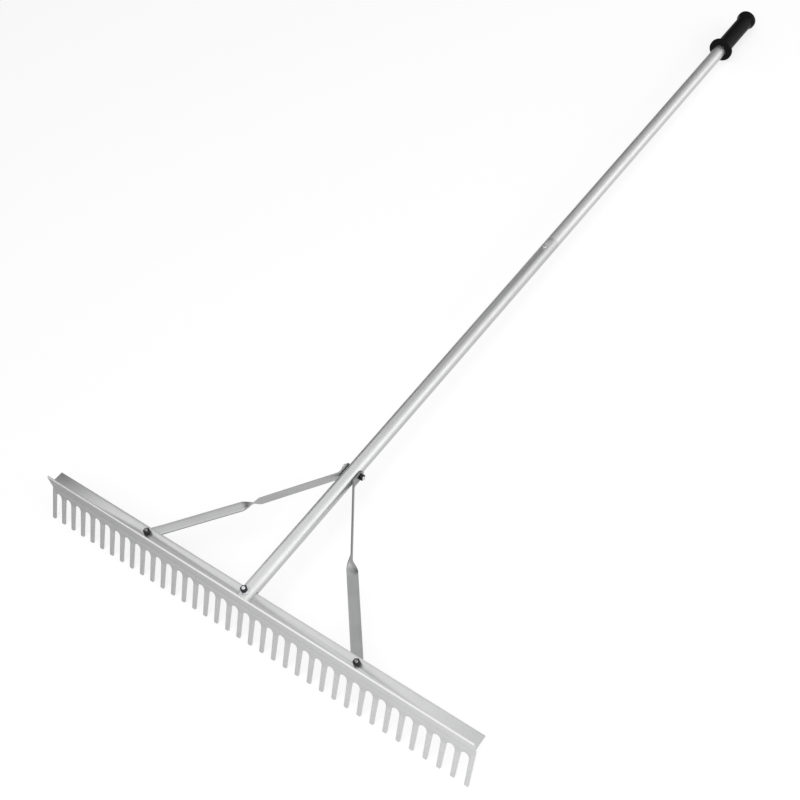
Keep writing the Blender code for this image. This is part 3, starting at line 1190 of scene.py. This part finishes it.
        # The lip's top faces get the painted highlight, a near-white colour in place of the light
        # catching the edge.
        top = self.lip_height - self.edge_round - PLACE_TOLERANCE
        corners = head.data.vertices
        lip_highlight_faces = [
            face.index
            for face in head.data.polygons
            if min(corners[index].co.z for index in face.vertices) > top
        ]
        mill = replace(MILL_ALUMINIUM, heading=self.grain_heading)
        painted_highlight = replace(LIP_PAINTED_HIGHLIGHT_ALUMINIUM, heading=self.grain_heading)
        material = mill.material("head_mill_aluminium", self.groups)
        hand_over(head, "rake_head", material)
        add_finish(head, painted_highlight.material("lip_painted_highlight_aluminium", self.groups), lip_highlight_faces)


@dataclass
class Handle:
    """The two tubes of the handle: a lower one slotted over the flange, and an upper one in it."""

    groups: ShaderGroups
    radius: float = 13.35 * MM
    wall: float = 1.6 * MM
    facets: int = 128
    rim_round: float = 0.3 * MM
    axis_height: float = -1.5 * MM
    foot: float = -22.1 * MM
    slot_height: float = 3.6 * MM
    slot_end: float = 2.5 * MM
    slot_past: float = 5.0 * MM
    slot_width: float = 40.0 * MM
    seam: float = 924.0 * MM
    seam_gap: float = 0.3 * MM
    upper_end: float = 1760.4 * MM
    shoulder_round: float = 0.5 * MM
    neck_round: float = 0.4 * MM
    neck_taper: float = 6.0 * MM
    spigot_length: float = 60.0 * MM
    spigot_clearance: float = 0.2 * MM
    drill_reach: Range = (-20.0 * MM, 20.0 * MM)
    button: float = 896.0 * MM
    button_hole_radius: float = 4.9 * MM
    button_drill_reach: Range = (5.0 * MM, 20.0 * MM)
    button_hole_facets: int = 64

    def place(self, station: float, turned: Matrix = IDENTITY) -> Matrix:
        """Return a matrix for a station on the handle's axis."""
        return at(0.0, station, self.axis_height, turned)

    def drill_button_hole(self, tube: Object) -> None:
        """Drill the snap button's hole through the top wall of a tube."""
        hole = self.button_hole_radius, self.button_drill_reach
        drill(tube, *hole, self.place(self.button), self.button_hole_facets)

    def build_lower(self, hardware: Hardware, across_tube: Matrix) -> None:
        """Model and dress the lower tube.

        Args:
            hardware: The bolts that go through it.
            across_tube: The turn of the bolt through the brace tabs.
        """
        tube = cylinder("slotted_lower_tube", self.radius, (self.foot, self.seam), self.facets)
        with editing(tube):
            choose(tube, Domain.FACE, lambda corners: len(corners) == self.facets)
            bpy.ops.mesh.delete(type="ONLY_FACE")
        finish_modifier(tube, "SOLIDIFY", thickness=self.wall, offset=-1.0)
        set_down(tube, self.place(0.0, ALONG_HANDLE))
        start = self.foot - self.slot_past
        middle = (0.0, (start + self.slot_end) / 2, self.axis_height)
        size = (self.slot_width, self.slot_end - start, self.slot_height)
        combine(tube, box("slot", middle, size))
        for place in (self.place(BOLT_LINE), self.place(CROSS_BOLT, across_tube)):
            drill(tube, hardware.hole_radius, self.drill_reach, place)
        self.drill_button_hole(tube)
        tidy_mesh(tube)
        break_edges(tube, self.rim_round)
        material = MILL_ALUMINIUM.material("lower_tube_mill_aluminium", self.groups)
        hand_over(tube, "lower_handle_tube", material)

    def build_upper(self) -> None:
        """Model and dress the upper tube, with its swaged lower end."""
        shoulder = self.seam + self.seam_gap
        spigot = self.radius - self.wall - self.spigot_clearance
        bore = self.radius - self.wall
        end = self.seam - self.spigot_length
        profile = [
            (self.radius, self.upper_end),
            (self.radius, shoulder + self.shoulder_round),
            (self.radius - self.shoulder_round, shoulder),
            (spigot + self.neck_round, shoulder),
            (spigot, shoulder - self.neck_round),
            (spigot, end + self.shoulder_round),
            (spigot - self.shoulder_round, end),
            (spigot - self.wall, end),
            (spigot - self.wall, shoulder),
            (bore, shoulder + self.neck_taper),
            (bore, self.upper_end),
        ]
        axis = self.place(0.0, ALONG_HANDLE)
        tube = turn("swaged_upper_tube", profile, self.facets, axis, Shape.RING)
        self.drill_button_hole(tube)
        material = MILL_ALUMINIUM.material("upper_tube_mill_aluminium", self.groups)
        hand_over(tube, "upper_handle_tube", material)


@dataclass
class Brace:
    """A flat strip from the flange to the tube's side, twisted on its way and bent at its tab."""

    groups: ShaderGroups
    side: Side
    tube_radius: float
    axis_height: float
    width: float = 19.05 * MM
    thickness: float = STRIP_THICKNESS
    flat_length: float = 30.0 * MM
    lean: float = math.radians(5.4)
    twist_length: float = 32.0 * MM
    twist_leads: Range = (4.0 * MM, 13.0 * MM)
    waist_length: float = 30.0 * MM
    waist_offset: float = 108.1 * MM
    waist_station: float = 132.7 * MM
    waist_height: float = 0.45 * MM
    bend_station: float = 256.7 * MM
    bend_radius: float = 12.0 * MM
    drill_reach: Range = (-5.0 * MM, 5.0 * MM)
    end_steps: int = 16
    end_slack: float = 0.01 * MM
    end_merge: float = 0.03 * MM
    edge_round: float = 0.5 * MM
    curve_steps: int = 240
    cuts: int = 130
    # Side faces whose normals lie flatter than this threshold keep only the next share of the
    # strip's colour, as painted shade along its edges.
    shaded_edge_normal: float = 0.5
    edge_painted_shade: float = 0.68
    grain_heading: float = math.radians(38.0)

    @property
    def twist(self) -> float:
        """How far the strip turns about its line; the braces mirror each other but for the lean."""
        return -self.side.value * (math.pi / 2 + self.side.value * self.lean)

    @property
    def twist_lead(self) -> float:
        """How far the twist's middle lies below the waist, left and right."""
        left, right = self.twist_leads
        return right if self.side is Side.RIGHT else left

    @property
    def across_tube(self) -> Matrix:
        """The turn of the bolt that holds both tabs."""
        return Matrix.Rotation(math.pi / 2 + self.lean, 4, "Y")

    def tab(self, station: float) -> Vector:
        """Find the middle of the tab's thickness.

        Args:
            station: How far along the tube.

        Returns:
            The middle's place there.
        """
        offset = self.side.value * (self.tube_radius + FIT_GAP + self.thickness / 2)
        height = self.axis_height - offset * math.sin(self.lean)
        return Vector((offset * math.cos(self.lean), station, height))

    @staticmethod
    def walk(legs: Sequence[Range], heading: float, distance: float) -> Vector:
        """Walk along a plan's legs from its origin.

        Args:
            legs: The legs as (length, turn), where a turn of 0 is a straight leg.
            heading: The angle that the walk starts at.
            distance: How far it goes.

        Returns:
            The point that it reaches.
        """
        point = Vector((0.0, 0.0))
        for length, turned in legs:
            step = min(distance, length)
            by = turned * step / length
            chord = 2 * length / turned * math.sin(by / 2) if turned else step
            point += Vector((math.sin(heading + by / 2), math.cos(heading + by / 2))) * chord
            heading += by
            distance -= step
        return point

    def route(self) -> list[tuple[Vector, float]]:
        """Lay out the strip's middle line, from its end on the flange to the tab's.

        Returns:
            The places along the line, each with the strip's twist there.
        """
        seat = Vector((FLANGE_BOLTS, BOLT_LINE))
        waist = Vector((self.waist_offset, self.waist_station))
        tab = self.tab(self.bend_station)
        bend = Vector((abs(tab.x), tab.y))
        lower = math.atan2(seat.x - waist.x, waist.y - seat.y)
        upper = math.atan2(waist.x - bend.x, bend.y - waist.y)
        waist_tangent = self.waist_length / (lower - upper) * math.tan((lower - upper) / 2)
        bend_tangent = self.bend_radius * math.tan(upper / 2)
        legs = [
            ((waist - seat).length - waist_tangent, 0.0),
            (self.waist_length, lower - upper),
            ((bend - waist).length - waist_tangent - bend_tangent, 0.0),
            (self.bend_radius * upper, upper),
            (CROSS_BOLT - self.bend_station - bend_tangent, 0.0),
        ]
        ends = [sum(length for length, _ in legs[: index + 1]) for index in range(len(legs))]
        waist_start, waist_end, bend_start, _, last = ends
        legs[-1] = (legs[-1][0] + self.width, 0.0)
        under_flange = -FLANGE_WALL - FIT_GAP - self.thickness / 2
        crest = (waist_start + waist_end) / 2
        twist_start = crest - self.twist_lead - self.twist_length / 2
        points = []
        half = self.width / 2
        for step in range(self.curve_steps + 1):
            distance = -half + (last + 2 * half) * step / self.curve_steps
            plan = self.walk(legs, -lower, distance)
            if distance < crest:
                share = held((distance - self.flat_length) / (crest - self.flat_length))
                height = under_flange + (self.waist_height - under_flange) * share
            else:
                share = held((distance - crest) / (bend_start - crest))
                height = self.waist_height + (tab.z - self.waist_height) * share
            turned = held((distance - twist_start) / self.twist_length) * self.twist
            place = Vector((self.side.value * (seat.x + plan.x), seat.y + plan.y, height))
            points.append((place, turned))
        return points

    def flat_strip(self, node: str, length: float, hole_radius: float) -> Object:
        """Model the strip as it is before it is bent: flat, round at its ends and drilled.

        Args:
            node: The CAD node that it stands for.
            length: The strip's length.
            hole_radius: The radius of its two holes.

        Returns:
            The flat strip.
        """
        strip = box(
            f"twisted_{node}", (length / 2, 0.0, 0.0), (length, self.width, self.thickness)
        )
        half = self.width / 2
        with editing(strip):
            choose(
                strip, Domain.EDGE, lambda ends: abs(ends[0].z - ends[1].z) > self.thickness / 2
            )
            bpy.ops.mesh.bevel(
                offset=half - self.end_slack,
                offset_type="OFFSET",
                segments=self.end_steps,
                affect="EDGES",
            )
            choose_all()
            bpy.ops.mesh.remove_doubles(threshold=self.end_merge)
        for place in (half, length - half):
            drill(strip, hole_radius, self.drill_reach, at(place, 0.0, 0.0))
        tidy_mesh(strip)
        break_edges(strip, self.edge_round, segments=3)
        with editing(strip):
            for cut in range(1, self.cuts):
                place = self.width + (length - 2 * self.width) * cut / self.cuts
                choose_all()
                bpy.ops.mesh.bisect(plane_co=(place, 0.0, 0.0), plane_no=(1.0, 0.0, 0.0))
        return strip

    def build(self, hardware: Hardware, node: str) -> None:
        """Model the strip flat, lead it along its route and dress it.

        Args:
            hardware: The bolts that go through it.
            node: The CAD node that it stands for.
        """
        route = self.route()
        length = sum((after[0] - before[0]).length for before, after in zip(route, route[1:]))
        strip = self.flat_strip(node, length, hardware.hole_radius)
        # The side faces are picked for painted shade: a darker copy of the strip's colour along its
        # edges.
        painted_shade_edges = [
            face.index
            for face in strip.data.polygons
            if abs(face.normal.z) < self.shaded_edge_normal
        ]
        curve = bpy.data.curves.new("brace_route", "CURVE")
        curve.dimensions = "3D"
        curve.twist_mode = "Z_UP"
        line = curve.splines.new("POLY")
        line.points.add(len(route) - 1)
        for point, (place, turned) in zip(line.points, route):
            point.co = (*place, 1.0)
            point.tilt = -turned
        guide = bpy.data.objects.new("brace_route", curve)
        bpy.context.scene.collection.objects.link(guide)
        finish_modifier(strip, "CURVE", object=guide, deform_axis="POS_X")
        bpy.data.objects.remove(guide, do_unlink=True)

        # Each brace takes its side's copy of the aluminium with painted shade.
        heading = self.side.value * self.grain_heading
        finish = replace(STRIP_ALUMINIUM_PAINTED_SHADE[self.side], heading=heading)
        material = finish.material(f"{node}_mill_aluminium", self.groups)
        hand_over(strip, node, material)
        # Painted shade: the side faces get the strip's finish taken darker.
        edge = finish.darker(self.edge_painted_shade)
        add_finish(strip, edge.material(f"{node}_sheared_edge_aluminium", self.groups), painted_shade_edges)


@dataclass
class Grip:
    """The rubber grip: a hand guard, a straight body and an end knob, in one moulding."""

    groups: ShaderGroups
    bore: float = 13.65 * MM
    mouth_round: float = 0.6 * MM
    body_radius: float = 17.2 * MM
    guard_radius: float = 26.3 * MM
    guard_thickness: float = 8.5 * MM
    guard_edge: float = 2.5 * MM
    guard_fillet: float = 3.0 * MM
    knob_radius: float = 21.1 * MM
    knob_length: float = 15.6 * MM
    knob_edge: float = 5.0 * MM
    knob_back_edge: float = 3.3 * MM
    knob_fillet: float = 5.0 * MM
    knob_slope: float = 2.5 * MM
    start: float = 1629.0 * MM
    end: float = 1764.4 * MM
    tube_end: float = 1760.7 * MM
    dimple_radius: float = 5.0 * MM
    dimple_depth: float = 0.6 * MM
    dimple_round: float = 0.5 * MM
    arc_steps: int = 9
    facets: int = 128

    def build(self, handle: Handle) -> None:
        """Turn the grip about the handle's axis and dress it.

        Args:
            handle: The handle that it is pushed on.
        """
        guard_end = self.start + self.guard_thickness
        knob_start = self.end - self.knob_length
        corners = [
            (self.bore, self.tube_end, 0.0),
            (self.bore, self.start, self.mouth_round),
            (self.guard_radius, self.start, self.guard_edge),
            (self.guard_radius, guard_end, self.guard_edge),
            (self.body_radius, guard_end, self.guard_fillet),
            (self.body_radius, knob_start - self.knob_slope, self.knob_fillet),
            (self.knob_radius, knob_start + self.knob_fillet, self.knob_back_edge),
            (self.knob_radius, self.end, self.knob_edge),
            (self.dimple_radius, self.end, self.dimple_round),
            (self.dimple_radius - self.dimple_depth, self.end - self.dimple_depth, 0.0),
        ]
        profile = rounded(corners, self.arc_steps)
        axis = handle.place(0.0, ALONG_HANDLE)
        grip = turn("moulded_rubber_grip", profile, self.facets, axis)
        material = GRIP_RUBBER.material("black_rubber", self.groups)
        hand_over(grip, "handle_grip", material)


@dataclass
class SnapButton:
    """The button that locks the two tubes, and the leaf spring that presses it out."""

    groups: ShaderGroups
    handle: Handle
    radius: float = 4.4 * MM
    pole_radius: float = 0.01 * MM
    rise: float = 2.0 * MM
    dome: float = 2.4 * MM
    dome_steps: int = 8
    facets: int = 64
    spring_width: float = 8.0 * MM
    spring_thickness: float = 0.8 * MM
    spring_reach: float = 8.7 * MM
    spring_round: float = 0.15 * MM
    free_end: float = 8.0 * MM
    flat_end: float = 10.0 * MM
    apex: float = 46.0 * MM
    bend_radius: float = 2.4 * MM
    corner_radius: float = 4.0 * MM
    bend_steps: int = 10

    @property
    def seat(self) -> Matrix:
        """Where the button stands on the handle's axis."""
        return self.handle.place(self.handle.button)

    def build_button(self) -> None:
        """Turn the domed button and dress it."""
        top, bottom = self.handle.radius + self.rise, self.spring_reach + FIT_GAP
        corners = [
            (self.pole_radius, top, 0.0),
            (self.radius, top, self.dome),
            (self.radius, bottom, 0.0),
        ]
        side = rounded(corners, self.dome_steps)
        button = turn("domed_snap_button", side, self.facets, self.seat)
        material = BRIGHT_ZINC.material("snap_button_steel", self.groups)
        hand_over(button, "snap_button", material, Body.BUTTON)

    def build_spring(self) -> None:
        """Lead a strip along the spring's side view, give it its thickness and dress it."""
        half = self.spring_thickness / 2
        slant = math.atan2(self.spring_reach, self.apex - self.flat_end)
        reach, corner = self.spring_reach - half, self.corner_radius - half
        flat_end = self.flat_end - half * math.tan(slant / 2)
        bend = (self.apex - half / math.sin(slant), 0.0, self.bend_radius - half)
        legs = [(-self.free_end, reach, 0.0), (flat_end, reach, corner)]
        mirrored = [(y, -z, radius) for y, z, radius in reversed(legs)]
        line = rounded([*legs, bend, *mirrored], self.bend_steps)
        (first_y, first_z), (second_y, _) = line[:2]
        bpy.ops.mesh.primitive_plane_add(size=1.0)
        spring = added("bent_snap_button_spring")
        middle = (0.0, (first_y + second_y) / 2, first_z)
        widths = Matrix.Diagonal((self.spring_width, second_y - first_y, 1.0, 1.0))
        set_down(spring, Matrix.Translation(middle) @ widths)
        with editing(spring):
            choose(spring, Domain.EDGE, lies_at(y=second_y))
            for before, after in zip(line[1:], line[2:]):
                extrude((0.0, after[0] - before[0], after[1] - before[1]))
        thickness = self.spring_thickness
        finish_modifier(spring, "SOLIDIFY", thickness=thickness, offset=0.0, use_even_offset=True)
        break_edges(spring, self.spring_round, over=50.0)
        set_down(spring, self.seat)
        material = SPRING_STEEL.material("spring_steel", self.groups)
        hand_over(spring, "snap_button_spring", material)


@dataclass
class Fastening:
    """Where the bolts, nuts and washers go."""

    groups: ShaderGroups
    hardware: Hardware
    handle: Handle
    bright: Material = field(init=False)
    shaded_zinc: Material = field(init=False)
    dark: Material = field(init=False)

    def __post_init__(self) -> None:
        """Make the materials."""
        self.bright = BRIGHT_ZINC.material("bright_zinc_steel", self.groups)
        self.shaded_zinc = PAINTED_SHADE_ZINC.material("painted_shade_zinc_steel", self.groups)
        self.dark = BLACK_OXIDE.material("black_oxide_steel", self.groups)

    def put(self, piece: Object, matrix: Matrix, node: str, material: Material) -> None:
        """Set a fastener down at its place and dress it."""
        set_down(piece, matrix)
        hand_over(piece, node, material)

    def pair(
        self, prefix: str, matrix: Matrix, below: float, above: float, plating: Material
    ) -> None:
        """Put a bolt and its nut on either side of a place.

        Args:
            prefix: What the names of the two start with.
            matrix: The place, with the bolt along its Z.
            below: How far below it the bolt's head bears.
            above: How far above it the nut bears.
            plating: The bolt's material.
        """
        bolt = self.hardware.bolt(f"hex_{prefix}_bolt", below + above)
        self.put(bolt, matrix @ at(0.0, 0.0, -below), f"{prefix}_bolt", plating)
        nut = self.hardware.nut(f"hex_{prefix}_nut")
        self.put(nut, matrix @ at(0.0, 0.0, above), f"{prefix}_nut", self.dark)

    def build(self, across_tube: Matrix) -> None:
        """Build every fastener.

        Args:
            across_tube: The turn of the bolt through the brace tabs.
        """
        radius = self.handle.radius
        base = self.handle.place(BOLT_LINE)
        washers = {"base_saddle_washer": IDENTITY, "base_lower_washer": UPSIDE_DOWN}
        for node, turned in washers.items():
            washer = self.hardware.saddle(f"curved_{node}", radius)
            self.put(washer, base @ turned, node, self.bright)
        on_washer = radius + FIT_GAP + self.hardware.saddle_thickness
        self.pair("base", base, on_washer, on_washer, self.bright)
        under_strip = FLANGE_WALL + FIT_GAP + STRIP_THICKNESS
        # The flange bolts take the zinc with painted shade.
        for side in Side:
            place = at(side.value * FLANGE_BOLTS, BOLT_LINE, 0.0)
            self.pair(f"{side.name.lower()}_flange", place, under_strip, 0.0, self.shaded_zinc)
        on_tab = radius + FIT_GAP + STRIP_THICKNESS
        across = self.handle.place(CROSS_BOLT, across_tube)
        self.pair("cross", across, on_tab, on_tab, self.bright)


# Studio


@dataclass(frozen=True)
class SoftLamp:
    """A rectangular area lamp that reflections leave out."""

    name: str
    place: Place
    target: Place
    size: Range
    power: float

    def light(self) -> None:
        """Hang the lamp."""
        data = bpy.data.lights.new(self.name, "AREA")
        data.shape, data.energy = "RECTANGLE", self.power
        data.size, data.size_y = self.size
        lamp = bpy.data.objects.new(self.name, data)
        lamp.visible_glossy = False
        lamp.location = self.place
        aim = Vector(self.target) - Vector(self.place)
        lamp.rotation_euler = aim.to_track_quat("-Z", "Y").to_euler()
        bpy.context.scene.collection.objects.link(lamp)


@dataclass(frozen=True)
class Flag:
    """A card that only reflections show, as photographers stand beside bright metal."""

    name: str
    low: Place
    high: Place
    grey: float

    def stand(self) -> None:
        """Stand the card between its two corners."""
        low, high = Vector(self.low), Vector(self.high)
        card = box(self.name, (low + high) / 2, high - low)
        material, desk, shader = start_material(self.name)
        glow = (self.grey, self.grey, self.grey, 1.0)
        desk.feed(shader, Base_Color=(*BLACK, 1.0), Specular_IOR_Level=0.0)
        desk.feed(shader, Emission_Color=glow, Emission_Strength=1.0)
        for ray in ("camera", "diffuse", "transmission", "volume_scatter", "shadow"):
            setattr(card, f"visible_{ray}", False)
        stage_glow(card, material)


@dataclass
class Studio:
    """A white floor and surround, soft lamps, grey flags and the camera."""

    floor_size: float = 30.0
    floor_colour: Colour = (0.86, 0.86, 0.86)
    seen_floor_colour: Colour = (0.35, 0.35, 0.35)
    seen_floor_glow: float = 0.74
    # In reflections the floor shows painted light: a glow that rises from the low to the high value
    # across this X range.
    mirrored_floor_reach: Range = (-0.75, 0.45)
    mirrored_floor_painted_light: Range = (0.34, 0.90)
    surround: float = 0.40
    lens: float = 54.0
    sensor: float = 36.0
    sight: float = 100.0
    shift: Range = (-HALF_PHOTO_PIXEL, HALF_PHOTO_PIXEL)
    camera_matrix: Matrix = field(
        default_factory=lambda: Matrix(
            (
                (0.79653, -0.38554, 0.46572, 0.98397),
                (0.584833, 0.6866681, -0.4318064, -1.3408002),
                (-0.1533235, 0.6163105, 0.7724362, 1.7288073),
                (0.0, 0.0, 0.0, 1.0),
            )
        )
    )
    lamps: tuple[SoftLamp, ...] = (
        SoftLamp("overhead_lamp", (1.0, -1.4, 2.8), (1.0, -1.4, 0.0), (4.0, 4.0), 50.0),
        SoftLamp("right_lamp", (2.4, 1.5, 0.9), (0.0, 1.5, 0.6), (5.0, 1.4), 32.0),
    )
    flags: tuple[Flag, ...] = (
        Flag("right_card", (2.5, -3.0, 0.0), (2.55, 4.5, 2.6), 1.5),
        Flag("left_low_flag", (-2.55, -0.5, 0.0), (-2.5, 4.5, 1.4), 0.05),
        Flag("left_high_flag", (-2.55, 0.0, 1.4), (-2.5, 4.5, 2.6), 0.5),
        Flag("top_left_flag", (-2.5, 1.0, 2.6), (0.0, 4.5, 2.65), 0.45),
        Flag("top_right_flag", (0.2, 0.3, 2.6), (2.5, 4.5, 2.65), 0.7),
        Flag("back_left_flag", (-2.5, 4.5, 0.0), (0.0, 4.55, 2.6), 0.05),
        Flag("back_right_flag", (0.0, 4.5, 0.0), (2.5, 4.55, 2.6), 0.7),
    )

    def lay_floor(self) -> None:
        """Lay a floor that shows white and keeps the rake's shadow; in reflections it shows only
        painted light, a glow that rises from dark at -X to bright at +X.
        """
        bpy.ops.mesh.primitive_plane_add(size=self.floor_size)
        floor = added("studio_floor")
        material, desk, shader = start_material("studio_floor")
        rays = desk.add("ShaderNodeLightPath").outputs
        seen = rays["Is Camera Ray"]
        mirrored = desk.plus(rays["Is Glossy Ray"], rays["Is Transmission Ray"])
        # Painted light for reflections: the floor's glow rises with X, as if lit from the right.
        across = desk.feed(desk.add("ShaderNodeSeparateXYZ"), Vector=desk.own_place())
        painted_light_slope = desk.stretch(
            across.outputs["X"], self.mirrored_floor_reach, self.mirrored_floor_painted_light
        )
        glow = desk.plus(desk.times(seen, self.seen_floor_glow), desk.times(mirrored, painted_light_slope))
        colour = desk.tint(seen, self.floor_colour, self.seen_floor_colour)
        colour = desk.tint(mirrored, colour, BLACK)
        desk.feed(shader, Base_Color=colour, Roughness=1.0, Specular_IOR_Level=0.0)
        desk.feed(shader, Emission_Color=(*WHITE, 1.0), Emission_Strength=glow)
        stage_glow(floor, material)

    def paint_surround(self) -> None:
        """Make the world white to the eye and in reflections, and a soft light on the rake."""
        world = bpy.data.worlds.new("white_surround")
        world.use_nodes = True
        world.cycles.sampling_method = "NONE"
        bpy.context.scene.world = world
        desk = NodeDesk(world.node_tree)
        rays = desk.add("ShaderNodeLightPath").outputs
        seen = desk.plus(rays["Is Camera Ray"], rays["Is Glossy Ray"])
        seen = desk.plus(seen, rays["Is Transmission Ray"])
        strength = desk.stretch(seen, (0.0, 1.0), (self.surround, 1.0))
        desk.feed(desk.tree.nodes["Background"], Color=(*WHITE, 1.0), Strength=strength)

    def set_camera(self) -> None:
        """Stand the camera where the photograph was taken."""
        data = bpy.data.cameras.new("photo_camera")
        data.lens, data.sensor_width = self.lens, self.sensor
        data.shift_x, data.shift_y = self.shift
        data.clip_end = self.sight
        camera = bpy.data.objects.new("photo_camera", data)
        camera.matrix_world = self.camera_matrix
        bpy.context.scene.collection.objects.link(camera)
        bpy.context.scene.camera = camera

    def build(self) -> None:
        """Set up the whole studio."""
        self.lay_floor()
        self.paint_surround()
        for lamp in self.lamps:
            lamp.light()
        for flag in self.flags:
            flag.stand()
        self.set_camera()
        bpy.context.scene.view_settings.view_transform = "Standard"


def main() -> None:
    """Load the frame, build and dress every piece, and light the studio."""
    logging.basicConfig(level=logging.INFO, format="%(message)s")
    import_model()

    groups = ShaderGroups()
    hardware = Hardware()
    handle = Handle(groups)
    RakeHead(groups).build(hardware)
    braces = {side: Brace(groups, side, handle.radius, handle.axis_height) for side in Side}
    across_tube = braces[Side.RIGHT].across_tube
    handle.build_lower(hardware, across_tube)
    handle.build_upper()
    for side, brace in braces.items():
        brace.build(hardware, f"{side.name.lower()}_brace")
    Grip(groups).build(handle)
    snap_button = SnapButton(groups, handle)
    snap_button.build_button()
    snap_button.build_spring()
    Fastening(groups, hardware, handle).build(across_tube)
    Studio().build()


if __name__ == "__main__":
    main()
